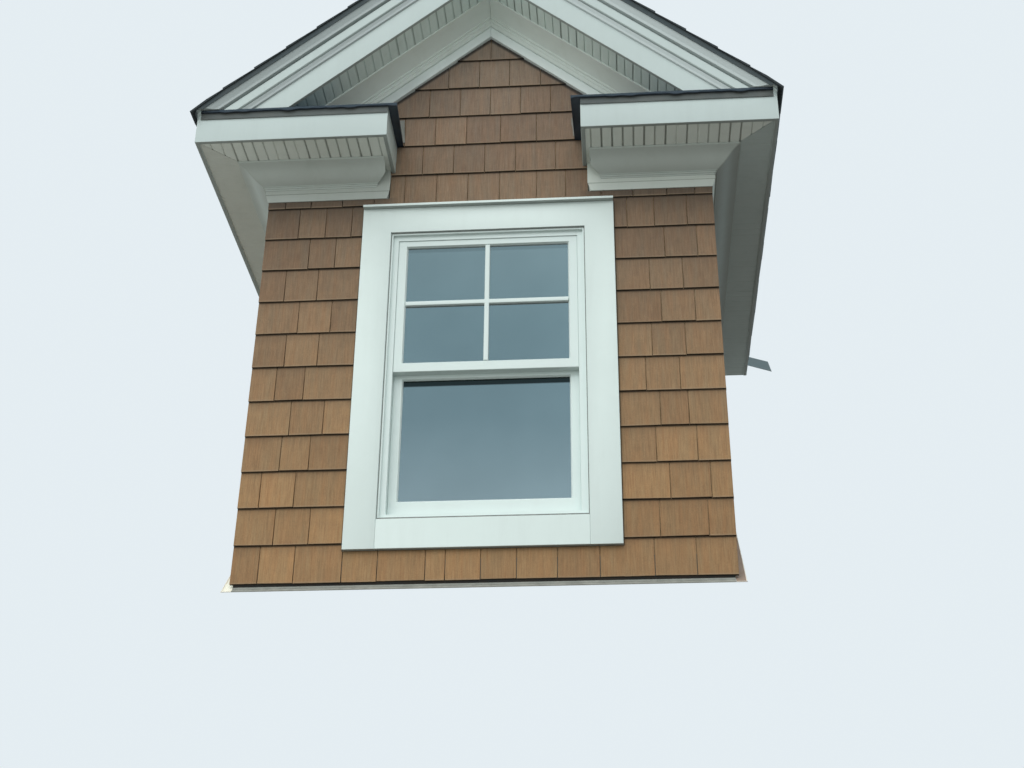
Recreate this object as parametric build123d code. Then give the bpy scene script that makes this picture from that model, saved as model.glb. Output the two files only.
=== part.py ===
from build123d import *
from math import sqrt
import os

# A gabled dormer with one double-hung window, boxed cornice returns and a moulded rake.
# Millimetres. X is to the right seen from the front, Y runs back into the main roof, Z is up.
# The origin is the middle of the front sole plate's sloping underside, on the main roof's plane.

# Main roof and dormer body
MAIN_RISE = 1.0                # rise per run of the main roof: 12 in 12
RISE = 10 / 12                 # rise per run of the dormer's own roof
WALL_HALF = 1070.0             # outer face of the cheek sheathing, from the middle
STUD_W = 38.0                  # thickness of the framing lumber
STUD_D = 89.0                  # depth of the wall framing
STUD_PITCH = 406.0             # spacing of studs and rafters
SHEATH = 12.0                  # wall and roof sheathing
RAFTER_D = 140.0               # depth of a rafter, square to the slope
RIDGE_D = 184.0                # depth of the ridge board
VALLEY_PLATE_W = 240.0         # height of the valley plate's strip, measured plumb

# Shingled walls
SIDING_LIFT = 30.0             # siding foot above the main roof
EXPOSURE = 177.8               # shingle course height
BUTT = 16.0                    # wall shingle thickness at the butt
BUTT_TOP = 6.0                 # thickness where the next course covers it

# Cornice
OVERHANG = 321.0               # outer face of the fascia, out from the sheathing
BOARD = 19.0                   # thickness of a trim board
FASCIA_H = 169.0               # height of the fascia
SOFFIT_T = 10.0                # thickness of a soffit panel
SOFFIT_SET = 6.0               # soffit above the fascia's bottom edge
CROWN_UP = 92.0                # height of the crown on the returns and eaves
CROWN_REACH = 115.0            # how far that crown stands out past its bed moulding
CROWN_LIP = 8.0                # flat lips of a crown moulding
CROWN_SET = 14.0               # crown's inner end, in from the return's end board
CROWN_SLANT = 0.45             # slant of that end, in per millimetre of projection
BED_MOULD = 8.0                # bed moulding between crown and frieze, both ways
FRIEZE_H = 58.0                # height of the frieze board under the bed moulding
FRIEZE_T = 30.0                # frieze board, out from the sheathing
FRIEZE_EDGE = 14.0             # bevel of its lower edge and inner end, in
FRIEZE_EDGE_H = 36.0           # height of that bevel
RETURN_IN = 462.0              # inner end of a cornice return, from the middle
RETURN_BOARD = 22.0            # inner end board's thickness
RETURN_ROOF = 14.0             # board and covering on top of a return
RETURN_LIP = 12.0              # how far that covering runs past the fascia
RETURN_SIDE_LIP = 45.0         # how far it runs past the inner end board
RETURN_STOP = 32.0             # covering and drip edge short of the outer corner
LOOKOUT_H = 89.0               # blocking inside a return

# Dormer roof
SHINGLE_T = 12.0               # roof shingles where they lap
ROOF_EXPOSURE = 190.0          # exposure of a roof shingle course
EAVE_LIP = 30.0                # shingles past the eave fascia
RAKE_LIP = 12.0                # shingles past the rake crown
OPEN_VALLEY = 70.0             # bare metal beside a valley, measured plumb
METAL = 2.0                    # thickness of bent sheet metal
DRIP = 30.0                    # drip edge down the fascia
RAKE_DRIP = 38.0               # foot of the drip edge up the rake, below the top of the shingles
RIDGE_JOINT = 0.5              # half of the joint where pieces meet over the middle
CAP_W = 150.0                  # ridge cap's wing down each slope
CAP_T = 10.0                   # thickness of the ridge cap

# Rake, measured square to the slope from the top of the shingles
RAKE_CROWN_FOOT = 98.0         # lower edge of the shingle crown
RAKE_BAND_FOOT = 154.0         # lower edge of the upper band
RAKE_COVE_FOOT = 186.0         # lower edge of the cove under the band
RAKE_BOARD_FOOT = 286.0        # lower edge of the wide rake board
RAKE_SOFFIT = 280.0            # under side of the rake soffit
RAKE_BAND_T = 14.0             # band proud of the rake board
RAKE_CROWN_OUT = 20.0          # crown proud of the band at its top
RAKE_CROWN_LIP = 4.0           # crown proud of the band at its foot
GABLE_CROWN = 52.0             # height of the crown along the gable
GABLE_REACH = 125.0            # how far that crown stands out past its bed mouldings
GABLE_BED = 26.0               # bed mouldings under that crown
GABLE_FRIEZE_FOOT = 397.0      # lower edge of the gable frieze

# Window and its casing
OPEN_HALF = 465.0              # clear width between the casings, from the middle
OPEN_FOOT = 284.0              # top of the bottom casing above the siding foot
OPEN_H = 1499.0                # clear height between the casings
OVER_OPENING = 210.0           # from the opening up to the frieze, past the head casing
CASING_W = 140.0               # width of a casing board
CASING_T = 28.0                # casing, out from the sheathing
CAP_H = 17.0                   # drip cap over the head casing
CAP_EDGE = 13.0                # its front edge
CAP_OUT = 23.0                 # drip cap proud of the casing
FRAME_HIDE = 12.0              # frame hidden behind the casing
ROUGH_GAP = 10.0               # space round the frame in the rough opening
FRAME_BEAD = 11.0              # width of the frame's outer bead
FRAME_STEP = 26.0              # width of the frame's recessed step
FRAME_HEAD = 25.0              # height of that step over the sashes
BEAD_OUT = 17.0                # outer bead, out from the sheathing
STEP_OUT = 3.0                 # recessed step, out from the sheathing
SILL_H = 44.0                  # height of the sill at its back
SILL_FALL = 14.0               # fall of the sill to its front
SASH_T = 35.0                  # thickness of a sash
SASH_SET = 2.0                 # upper sash behind the face of the sheathing
SASH_GAP = 3.0                 # space between the two sashes
SASH_PLAY = 0.5                # sash beside the jamb
STILE = 44.0                   # width of a sash stile
TOP_RAIL = 34.0                # height of the upper sash's top rail
CHECK_RAIL = 52.0              # height of the upper sash's meeting rail
LOWER_CHECK = 42.0             # height of the lower sash's meeting rail
CHECK_LAP = 20.0               # height over which the two meeting rails stand behind each other
BOTTOM_RAIL = 70.0             # height of the lower sash's bottom rail
GLASS_T = 5.0                  # thickness of a pane
GLASS_BITE = 9.0               # pane let into its sash
HEADER_H = 184.0               # depth of the window header

# Flashings
APRON_LEG = 58.0               # apron down the roof from the wall
UPSTAND = 100.0                # metal up behind the shingles
APRON_SHORT = 1.0              # apron short of each corner
SIDE_LEG = 45.0                # side flashing out from the cheek
VALLEY_LEG = 160.0             # valley metal out on the main roof, measured plumb

# Worked out from the sizes above
SLOPE = sqrt(1 + RISE ** 2)            # plumb height of one millimetre square to the slope
MAIN_SLOPE = sqrt(1 + MAIN_RISE ** 2)
FRONT_STUD = -STUD_D / 2               # outer face of the front framing
BACK_STUD = STUD_D / 2
FRONT = FRONT_STUD - SHEATH            # outer face of the front sheathing
STUD_OUT = WALL_HALF - SHEATH          # outer face of the cheek framing
STUD_IN = STUD_OUT - STUD_D
FOOT = (FRONT - BUTT) * MAIN_RISE + SIDING_LIFT
SILL_Z = FOOT + OPEN_FOOT              # lower and upper edge of the casings' opening
HEAD_Z = SILL_Z + OPEN_H
FRIEZE_Z = HEAD_Z + OVER_OPENING
SOFFIT_Z = FRIEZE_Z + FRIEZE_H + BED_MOULD + CROWN_UP - SOFFIT_SET
SOFFIT_TOP = SOFFIT_Z + SOFFIT_SET + SOFFIT_T
FASCIA_TOP = SOFFIT_Z + FASCIA_H
FASCIA_X = WALL_HALF + OVERHANG
DECK_UNDER = FASCIA_TOP + RISE * FASCIA_X        # height of each layer over the middle
DECK_TOP = DECK_UNDER + SHEATH * SLOPE
ROOF_TOP = DECK_TOP + SHINGLE_T * SLOPE
RAFTER_UNDER = DECK_UNDER - RAFTER_D * SLOPE
RIDGE_BOARD_TOP = DECK_UNDER - RISE * STUD_W / 2
PLATE_TOP = RAFTER_UNDER - RISE * STUD_IN
RETURN_TOP = FASCIA_TOP + RETURN_ROOF
RAKE_FACE = OVERHANG - 4.0                       # rake board just behind the return fascia
RAKE_OUT = RAKE_FACE + RAKE_BAND_T + RAKE_CROWN_OUT
AHEAD = FRONT - 2 * OVERHANG                     # ahead of everything
BACK = (ROOF_TOP + OVERHANG) / MAIN_RISE         # behind everything
CASING_HALF = OPEN_HALF + CASING_W
CASING_FOOT = SILL_Z - CASING_W
CASING_TOP = HEAD_Z + CASING_W
FRAME_HALF = OPEN_HALF + FRAME_HIDE
ROUGH_HALF = FRAME_HALF + ROUGH_GAP
FRAME_FOOT = SILL_Z - FRAME_HIDE
FRAME_TOP = HEAD_Z + FRAME_HIDE
ROUGH_TOP = FRAME_TOP + ROUGH_GAP
JAMB_IN = OPEN_HALF - FRAME_BEAD - FRAME_STEP
SASH_OUT = -SASH_SET                             # outer face of the upper sash
SASH_HALF = JAMB_IN - SASH_PLAY
SASH_TOP = HEAD_Z - FRAME_BEAD - FRAME_HEAD
SILL_TOP = SILL_Z + SILL_H
MEETING = (SASH_TOP + SILL_TOP) / 2


def along_x(points, x0, x1):
    """A prism along X over an outline of (y, z) points."""
    return extrude(Plane.YZ.offset(x0) * make_face(Polyline(*points, close=True)), x1 - x0)


def along_y(points, y0, y1):
    """A prism along Y over an outline of (x, z) points."""
    return extrude(Plane.XZ.offset(-y1) * make_face(Polyline(*points, close=True)), y1 - y0)


def upright(points, z0, z1):
    """A prism along Z over an outline of (x, y) points."""
    return extrude(Plane.XY.offset(z0) * make_face(Polyline(*points, close=True)), z1 - z0)


def block(x0, x1, y0, y1, z0, z1):
    """A box between two corners."""
    return upright([(x0, y0), (x1, y0), (x1, y1), (x0, y1)], z0, z1)


def mirrored(piece):
    """The same piece on the other side of the middle."""
    return mirror(piece, Plane.YZ)


def pair(piece):
    """A piece with its mirror image, as solids that don't touch."""
    return Compound(children=[piece, mirrored(piece)])


def save(name, *pieces):
    """Write one node from its solids."""
    solids = [solid for piece in pieces for solid in piece.solids()]
    export_step(solids[0] if len(solids) == 1 else Compound(children=solids), f"parts/{name}.step")


def over_main(low, high=None):
    """The space between two planes parallel to the main roof, each given by its plumb height over it."""
    lower = [(AHEAD, AHEAD * MAIN_RISE + low), (BACK, BACK * MAIN_RISE + low)]
    if high is None:
        upper = [(BACK, BACK * MAIN_RISE + ROOF_TOP), (AHEAD, BACK * MAIN_RISE + ROOF_TOP)]
    else:
        upper = [(BACK, BACK * MAIN_RISE + high), (AHEAD, AHEAD * MAIN_RISE + high)]
    return along_x(lower + upper, -FASCIA_X * 2, FASCIA_X * 2)


def under_slope(low, high, x0, x1, y0=AHEAD, y1=BACK):
    """The space between two planes parallel to the right-hand dormer slope, named by their height over the middle."""
    points = [(x0, low - RISE * x0), (x1, low - RISE * x1), (x1, high - RISE * x1), (x0, high - RISE * x0)]
    return along_y(points, y0, y1)


def front_run(section, x0, x1):
    """A moulding along the front: its section is (out from the sheathing, height)."""
    return along_x([(FRONT - out, z) for out, z in section], x0, x1)


def side_run(section, y0, y1):
    """The same moulding along the right-hand cheek."""
    return along_y([(WALL_HALF + out, z) for out, z in section], y0, y1)


def front_of_mitre():
    """The space in front of the wall, cut at the two corner mitres."""
    reach = FRONT - AHEAD
    return upright([(-WALL_HALF - reach, AHEAD), (WALL_HALF + reach, AHEAD),
                    (WALL_HALF, FRONT), (-WALL_HALF, FRONT)], AHEAD, ROOF_TOP)


def side_of_mitre():
    """The space beside the right-hand cheek, cut at the corner mitre."""
    reach = FRONT - AHEAD
    return upright([(WALL_HALF, FRONT), (WALL_HALF + reach, AHEAD),
                    (WALL_HALF + reach, BACK), (WALL_HALF, BACK)], AHEAD, ROOF_TOP)


def course_section(foot, top):
    """Lapped shingle courses as one stepped section, thick at each butt and thin under the next."""
    points = [(0.0, foot)]
    z = foot
    while z < top:
        lap = min(z + EXPOSURE, top)
        thin = BUTT - (BUTT - BUTT_TOP) * (lap - z) / EXPOSURE
        points += [(BUTT, z), (thin, lap)]
        z = lap
    return points + [(0.0, top)]


def crown_face(up, reach, out, top):
    """The face of a crown moulding from its tip at height top down to its foot, out from the sheathing there."""
    tip = out + reach
    foot = top - up
    return [(tip, top), (tip, top - CROWN_LIP), (tip - reach * 0.16, top - up * 0.24),
            (tip - reach * 0.40, top - up * 0.42), (tip - reach * 0.66, top - up * 0.60),
            (tip - reach * 0.82, top - up * 0.82), (out + CROWN_LIP / 2, foot + CROWN_LIP), (out, foot)]


def cornice_crown():
    """Crown and bed moulding in front of the frieze board of the returns and eaves."""
    top = SOFFIT_Z + SOFFIT_SET
    bed = top - CROWN_UP - BED_MOULD
    return ([(FRIEZE_T, top)] + crown_face(CROWN_UP, CROWN_REACH, FRIEZE_T + BED_MOULD, top)
            + [(FRIEZE_T + BED_MOULD, bed + BED_MOULD / 2), (FRIEZE_T + BED_MOULD / 2, bed + BED_MOULD / 2),
               (FRIEZE_T + BED_MOULD / 2, bed), (FRIEZE_T, bed)])


def frieze_face():
    """The front layer of the frieze board, bevelled at its lower edge."""
    back = FRIEZE_T - FRIEZE_EDGE
    top = SOFFIT_Z + SOFFIT_SET
    return [(back, top), (FRIEZE_T, top), (FRIEZE_T, FRIEZE_Z + FRIEZE_EDGE_H), (back, FRIEZE_Z)]


def frieze_back():
    """The plain layer behind it, against the sheathing."""
    back = FRIEZE_T - FRIEZE_EDGE
    top = SOFFIT_Z + SOFFIT_SET
    return [(0.0, top), (back, top), (back, FRIEZE_Z), (0.0, FRIEZE_Z)]


def returned(section, inner, slant):
    """A front moulding to the right-hand corner whose inner end draws in as its section does."""
    outer = WALL_HALF + OVERHANG
    tip = max(out for out, _ in section)
    end = [(inner + (tip - out) * slant, z) for out, z in section[1:]]
    end = [(outer, section[0][1])] + end + [(outer, section[-1][1])]
    return front_run(section, inner, outer) & along_y(end, AHEAD, FRONT)


def square_cut(depth):
    """The height over the middle of a plane that lies square below the top of the shingles."""
    return ROOF_TOP - depth * SLOPE


def rake_run(section, foot=RETURN_TOP):
    """A moulding up the right-hand rake: its section is (out from the sheathing, depth below the shingles)."""
    outline = make_face(Polyline(*[(-out, -depth) for out, depth in section], close=True))
    ridge = Plane(origin=(0, FRONT, ROOF_TOP), x_dir=(0, 1, 0), z_dir=(1 / SLOPE, 0, -RISE / SLOPE))
    run = extrude(ridge * outline, FASCIA_X * SLOPE) + extrude(ridge * outline, -RAKE_BOARD_FOOT * 2)
    return run & block(RIDGE_JOINT, FASCIA_X, AHEAD, FRONT, foot, ROOF_TOP)


# Framing

def front_sole_plate():
    """The bevelled plate that stands on the main roof under the window wall."""
    top = BACK_STUD * MAIN_RISE + STUD_W
    return along_x([(FRONT_STUD, FRONT_STUD * MAIN_RISE), (BACK_STUD, BACK_STUD * MAIN_RISE),
                    (BACK_STUD, top), (FRONT_STUD, top)], -STUD_OUT, STUD_OUT)


def front_studs():
    """Corner, king, jack and cripple studs of the window wall, and the gable studs over its plate."""
    low = BACK_STUD * MAIN_RISE + STUD_W
    high = PLATE_TOP - STUD_W
    sill = FRAME_FOOT - STUD_W
    header = ROUGH_TOP + HEADER_H
    spots = [(STUD_OUT - STUD_W, low, high), (STUD_OUT - 2.5 * STUD_W - STUD_W, low, high),
             (ROUGH_HALF + STUD_W + 1.0, low, high), (ROUGH_HALF, low, ROUGH_TOP)]
    studs = [block(x, x + STUD_W, FRONT_STUD, BACK_STUD, z0, z1) for x, z0, z1 in spots]
    for x in (STUD_PITCH - STUD_W / 2, STUD_PITCH * 2 - STUD_W / 2):
        top = RAFTER_UNDER - RISE * (x + STUD_W)
        studs.append(along_y([(x, PLATE_TOP), (x + STUD_W, PLATE_TOP), (x + STUD_W, top),
                              (x, top + RISE * STUD_W)], FRONT_STUD, BACK_STUD))
    cripples = [block(x, x + STUD_W, FRONT_STUD, BACK_STUD, low, sill) for x in (0.6 * STUD_PITCH,)]
    cripples += [block(x, x + STUD_W, FRONT_STUD, BACK_STUD, header, high) for x in (0.6 * STUD_PITCH,)]
    middle = [block(-STUD_W / 2, STUD_W / 2, FRONT_STUD, BACK_STUD, low, sill)]
    return [pair(piece) for piece in studs + cripples] + middle


def window_sill_plate():
    """The rough sill between the jack studs."""
    return block(-ROUGH_HALF, ROUGH_HALF, FRONT_STUD, BACK_STUD, FRAME_FOOT - STUD_W, FRAME_FOOT)


def window_header():
    """The header over the rough opening, carried on the jack studs."""
    half = ROUGH_HALF + STUD_W
    return block(-half, half, FRONT_STUD, BACK_STUD, ROUGH_TOP, ROUGH_TOP + HEADER_H)


def front_tie_plate():
    """The plate across the window wall at the height of the cheek plates."""
    return block(-STUD_OUT, STUD_OUT, FRONT_STUD, BACK_STUD, PLATE_TOP - STUD_W, PLATE_TOP)


def cheek_sole_plate():
    """The plate that climbs the main roof under the right-hand cheek."""
    plate = block(STUD_IN, STUD_OUT, BACK_STUD, BACK, 0.0, PLATE_TOP)
    return plate & over_main(0.0, STUD_W * MAIN_SLOPE)


def cheek_studs():
    """Studs of the right-hand cheek, each cut to the slope of its sole plate."""
    studs = []
    y = BACK_STUD
    while y + STUD_W < PLATE_TOP / MAIN_RISE - 5 * STUD_W:
        stud = block(STUD_IN, STUD_OUT, y, y + STUD_W, 0.0, PLATE_TOP - STUD_W)
        studs.append(stud & over_main(STUD_W * MAIN_SLOPE))
        y += STUD_PITCH
    return studs


def cheek_top_plate():
    """The plate that carries the rafters, dying into the sole plate at the main roof."""
    plate = block(STUD_IN, STUD_OUT, BACK_STUD, BACK, PLATE_TOP - STUD_W, PLATE_TOP)
    return plate & over_main(STUD_W * MAIN_SLOPE)


def ridge_board():
    """The board between the rafters, from the barge rafters back to the main roof."""
    board = block(-STUD_W / 2, STUD_W / 2, FRONT - RAKE_FACE + BOARD, BACK, RIDGE_BOARD_TOP - RIDGE_D, RIDGE_BOARD_TOP)
    return board & over_main(0.0)


def rafter(y):
    """One right-hand rafter: plumb cut at the ridge, birdsmouth, and a tail cut plumb and level."""
    head = STUD_W / 2
    tail = FASCIA_X - BOARD
    level = (RAFTER_UNDER - SOFFIT_TOP) / RISE
    points = [(head, DECK_UNDER - RISE * head), (tail, DECK_UNDER - RISE * tail), (tail, SOFFIT_TOP),
              (level, SOFFIT_TOP), (STUD_OUT, RAFTER_UNDER - RISE * STUD_OUT),
              (STUD_OUT, PLATE_TOP), (STUD_IN, PLATE_TOP), (head, RAFTER_UNDER - RISE * head)]
    return along_y(points, y, y + STUD_W)


def rafters():
    """Common rafters over the cheek and jack rafters down to the valley plate."""
    row = []
    y = FRONT_STUD
    while y < (DECK_UNDER - RISE * STUD_W) / MAIN_RISE - 4 * STUD_W:
        row += (rafter(y) & over_main(STUD_W * MAIN_SLOPE)).solids()
        y += STUD_PITCH
    return row


def barge_rafter():
    """The outermost rafter, behind the rake board."""
    y0 = FRONT - RAKE_FACE + BOARD
    head = STUD_W / 2
    tail = FASCIA_X - BOARD
    points = [(head, DECK_UNDER - RISE * head), (tail, DECK_UNDER - RISE * tail),
              (tail, RAFTER_UNDER - RISE * tail), (head, RAFTER_UNDER - RISE * head)]
    return along_y(points, y0, y0 + STUD_W) & block(0.0, FASCIA_X, y0, FRONT, RETURN_TOP, ROOF_TOP)


def valley_plate():
    """The plate laid flat on the main roof under the right-hand valley."""
    strip = under_slope(DECK_UNDER - VALLEY_PLATE_W, DECK_UNDER, STUD_W / 2, FASCIA_X - BOARD)
    return (strip & over_main(0.0, STUD_W * MAIN_SLOPE)) - block(STUD_IN, FASCIA_X, FRONT, BACK, 0.0, PLATE_TOP)


# Sheathing and shingles

def gable_outline(half, foot, line):
    """The outline of the front wall under a roof line named by its height over the middle."""
    return [(-half, foot), (half, foot), (half, line - RISE * half), (0.0, line),
            (-half, line - RISE * half)]


def front_sheathing():
    """Sheathing of the window wall, with the rough opening cut through."""
    wall = along_y(gable_outline(WALL_HALF, FRONT * MAIN_RISE, DECK_UNDER), FRONT, FRONT_STUD)
    hole = block(-ROUGH_HALF, ROUGH_HALF, FRONT - 1.0, FRONT_STUD + 1.0, FRAME_FOOT, ROUGH_TOP)
    notch = block(-STUD_W / 2, STUD_W / 2, FRONT - 1.0, FRONT_STUD + 1.0, RIDGE_BOARD_TOP - RIDGE_D, ROOF_TOP)
    return ((wall - hole) & over_main(0.0)) - notch


def cheek_sheathing():
    """Sheathing of the right-hand cheek, up to the under side of the rafters."""
    top = RAFTER_UNDER - RISE * WALL_HALF
    return block(STUD_OUT, WALL_HALF, FRONT_STUD, BACK, -STUD_D, top) & over_main(0.0)


def apron_upstand():
    """The apron's leg behind the shingles."""
    reach = WALL_HALF - APRON_SHORT
    return block(-reach, reach, FRONT - METAL, FRONT, FRONT * MAIN_RISE, FOOT + UPSTAND)


def side_upstand():
    """The side flashing's leg behind the right-hand shingles."""
    leg = block(WALL_HALF, WALL_HALF + METAL, FRONT, BACK, FRONT * MAIN_RISE, FRIEZE_Z)
    return leg & over_main(0.0, (SIDING_LIFT + UPSTAND) * MAIN_SLOPE)


def return_space():
    """The space that the right-hand return takes from the front shingles."""
    lower = block(RETURN_IN + RETURN_BOARD, WALL_HALF * 2, FRONT - BUTT, FRONT, FRIEZE_Z, SOFFIT_Z + SOFFIT_SET)
    upper = block(RETURN_IN, WALL_HALF * 2, FRONT - BUTT, FRONT, SOFFIT_Z, FASCIA_TOP)
    cover = block(RETURN_IN - RETURN_SIDE_LIP, WALL_HALF * 2, FRONT - BUTT, FRONT, FASCIA_TOP, RETURN_TOP)
    return lower + upper + cover


def front_shingles():
    """The shingled face of the window wall, stepped in courses and cut round the trim."""
    line = square_cut(GABLE_FRIEZE_FOOT)
    wall = front_run(course_section(FOOT, line), -WALL_HALF - BUTT, WALL_HALF + BUTT)
    wall &= along_y(gable_outline(WALL_HALF + BUTT, FOOT, line), FRONT - BUTT, FRONT)
    wall &= front_of_mitre()
    wall -= block(-CASING_HALF, CASING_HALF, FRONT - BUTT, FRONT, CASING_FOOT, CASING_TOP + CAP_H)
    taken = return_space()
    return wall - taken - mirrored(taken) - apron_upstand()


def cheek_shingles():
    """The shingled face of the right-hand cheek, its foot parallel to the main roof."""
    wall = side_run(course_section(FOOT, FRIEZE_Z), FRONT - BUTT, BACK)
    return (wall & side_of_mitre() & over_main(SIDING_LIFT)) - side_upstand()


# Dormer roof

def roof_deck():
    """Sheathing of the right-hand slope, cut to the main roof."""
    return under_slope(DECK_UNDER, DECK_TOP, RIDGE_JOINT, FASCIA_X, FRONT - RAKE_OUT) & over_main(0.0)


def roof_shingles():
    """Roofing of the right-hand slope, stepped in courses and held back from the valley metal."""
    eave = FASCIA_X + EAVE_LIP
    step = ROOF_EXPOSURE / SLOPE
    points = [(RIDGE_JOINT, DECK_TOP - RISE * RIDGE_JOINT), (eave, DECK_TOP - RISE * eave)]
    x = eave
    while x > RIDGE_JOINT:
        lap = max(x - step, RIDGE_JOINT)
        thin = 0.5 + 0.5 * (step - (x - lap)) / step
        points += [(x, ROOF_TOP - RISE * x), (lap, DECK_TOP + (ROOF_TOP - DECK_TOP) * thin - RISE * lap)]
        x = lap
    return along_y(points, FRONT - RAKE_OUT - RAKE_LIP, BACK) & over_main(OPEN_VALLEY)


def ridge_cap():
    """The cap folded over the ridge."""
    wing = CAP_W / SLOPE
    under = ROOF_TOP
    over = ROOF_TOP + CAP_T * SLOPE
    points = [(0.0, under), (wing, under - RISE * wing), (wing, over - RISE * wing), (0.0, over),
              (-wing, over - RISE * wing), (-wing, under - RISE * wing)]
    return along_y(points, FRONT - RAKE_OUT - RAKE_LIP, BACK) & over_main(OPEN_VALLEY)


def valley_flashing():
    """Metal folded into the right-hand valley, bare between the shingles and the main roof."""
    thick = METAL * MAIN_SLOPE
    leg = under_slope(DECK_TOP, DECK_TOP + VALLEY_LEG, RIDGE_JOINT, FASCIA_X + VALLEY_LEG)
    leg &= over_main(0.0, thick)
    wing = under_slope(DECK_TOP, DECK_TOP + METAL * SLOPE, RIDGE_JOINT, FASCIA_X)
    wing &= over_main(thick, OPEN_VALLEY)
    return leg + wing


def eave_drip():
    """The drip edge along the right-hand eave, over the edge of the sheathing and the fascia."""
    face = under_slope(DECK_UNDER - DRIP, DECK_TOP, FASCIA_X, FASCIA_X + METAL, FRONT - RAKE_OUT - METAL)
    return face & over_main(OPEN_VALLEY)


def rake_drip():
    """The drip edge up both rakes, over the front edge of the sheathing."""
    out = RAKE_OUT + METAL
    section = [(RAKE_OUT, SHINGLE_T), (out, SHINGLE_T), (out, RAKE_DRIP), (RAKE_OUT, RAKE_DRIP)]
    return rake_run(section, FASCIA_TOP - DRIP)


def return_drip():
    """The drip edge along the front of the right-hand return, under its covering."""
    section = [(OVERHANG, FASCIA_TOP - DRIP), (OVERHANG + METAL, FASCIA_TOP - DRIP),
               (OVERHANG + METAL, FASCIA_TOP), (OVERHANG, FASCIA_TOP)]
    return front_run(section, RETURN_IN, FASCIA_X - RETURN_STOP)


# Cornice

def cornice_front():
    """Crown, bed moulding and frieze under the right-hand return, mitred at the corner."""
    inner = RETURN_IN + RETURN_BOARD
    run = front_run(frieze_back(), inner, WALL_HALF + OVERHANG) + returned(frieze_face(), inner, 1.0)
    run += returned(cornice_crown(), inner + CROWN_SET, CROWN_SLANT)
    return run & front_of_mitre()


def cornice_side():
    """The same moulding under the right-hand eave, back to the main roof."""
    run = [side_run(section, FRONT - OVERHANG, BACK) for section in (frieze_back(), frieze_face(), cornice_crown())]
    return (run[0] + run[1] + run[2]) & side_of_mitre() & over_main(METAL * MAIN_SLOPE)


def fascia_section():
    """The fascia board of the returns and eaves."""
    return [(OVERHANG - BOARD, SOFFIT_Z), (OVERHANG, SOFFIT_Z), (OVERHANG, FASCIA_TOP),
            (OVERHANG - BOARD, FASCIA_TOP)]


def return_fascia():
    """The front board of the right-hand return."""
    return front_run(fascia_section(), RETURN_IN, WALL_HALF + OVERHANG) & front_of_mitre()


def eave_fascia():
    """The board along the right-hand eave, from the mitre to the main roof."""
    run = side_run(fascia_section(), FRONT - OVERHANG, BACK)
    return run & side_of_mitre() & over_main(METAL * MAIN_SLOPE)


def soffit_section():
    """The soffit panel between the crown and the fascia."""
    low = SOFFIT_Z + SOFFIT_SET
    return [(0.0, low), (OVERHANG - BOARD, low), (OVERHANG - BOARD, low + SOFFIT_T), (0.0, low + SOFFIT_T)]


def return_soffit():
    """The panel under the right-hand return, mitred at the corner."""
    return front_run(soffit_section(), RETURN_IN + BOARD, WALL_HALF + OVERHANG) & front_of_mitre()


def eave_soffit():
    """The panel under the right-hand eave, back to the main roof."""
    run = side_run(soffit_section(), FRONT - OVERHANG, BACK)
    return run & side_of_mitre() & over_main(METAL * MAIN_SLOPE)


def return_end():
    """The board that closes the inner end of the right-hand return."""
    return block(RETURN_IN, RETURN_IN + BOARD, FRONT - OVERHANG + BOARD, FRONT, SOFFIT_Z, FASCIA_TOP)


def return_roof():
    """The flat covering on top of the right-hand return, stopped short of its outer corner."""
    return block(RETURN_IN - RETURN_SIDE_LIP, FASCIA_X - RETURN_STOP, FRONT - OVERHANG - RETURN_LIP, FRONT,
                 FASCIA_TOP, RETURN_TOP)


def return_lookouts():
    """Blocking inside the right-hand return, from the wall to the back of its fascia."""
    row = []
    x = RETURN_IN + BOARD
    while x < WALL_HALF:
        row.append(block(x, x + STUD_W, FRONT - OVERHANG + BOARD, FRONT, SOFFIT_TOP, SOFFIT_TOP + LOOKOUT_H))
        x += (WALL_HALF - RETURN_IN - BOARD - STUD_W) / 2
    return row


# Rake

def rake_board():
    """The wide board up the right-hand rake."""
    top = (ROOF_TOP - DECK_UNDER) / SLOPE
    return rake_run([(RAKE_FACE - BOARD, top), (RAKE_FACE, top), (RAKE_FACE, RAKE_BOARD_FOOT),
                     (RAKE_FACE - BOARD, RAKE_BOARD_FOOT)])


def rake_moulding():
    """Shingle crown, band and cove planted on the right-hand rake board."""
    top = (ROOF_TOP - DECK_UNDER) / SLOPE
    band = RAKE_FACE + RAKE_BAND_T
    cove = RAKE_COVE_FOOT - RAKE_BAND_FOOT
    crown = RAKE_CROWN_FOOT - top
    return rake_run([(RAKE_FACE, top), (RAKE_OUT, top), (RAKE_OUT, top + 8.0),
                     (RAKE_OUT - RAKE_CROWN_OUT * 0.30, top + crown * 0.36),
                     (RAKE_OUT - RAKE_CROWN_OUT * 0.72, top + crown * 0.70),
                     (band + RAKE_CROWN_LIP, RAKE_CROWN_FOOT - 3.0), (band + RAKE_CROWN_LIP, RAKE_CROWN_FOOT),
                     (band, RAKE_CROWN_FOOT), (band, RAKE_BAND_FOOT),
                     (RAKE_FACE + RAKE_BAND_T * 0.45, RAKE_BAND_FOOT + cove * 0.25),
                     (RAKE_FACE + RAKE_BAND_T * 0.30, RAKE_COVE_FOOT - 5.0),
                     (RAKE_FACE + RAKE_BAND_T * 0.30, RAKE_COVE_FOOT), (RAKE_FACE, RAKE_COVE_FOOT)])


def rake_soffit():
    """The panel under the right-hand rake."""
    return rake_run([(0.0, RAKE_SOFFIT - SOFFIT_T), (RAKE_FACE - BOARD, RAKE_SOFFIT - SOFFIT_T),
                     (RAKE_FACE - BOARD, RAKE_SOFFIT), (0.0, RAKE_SOFFIT)])


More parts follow.
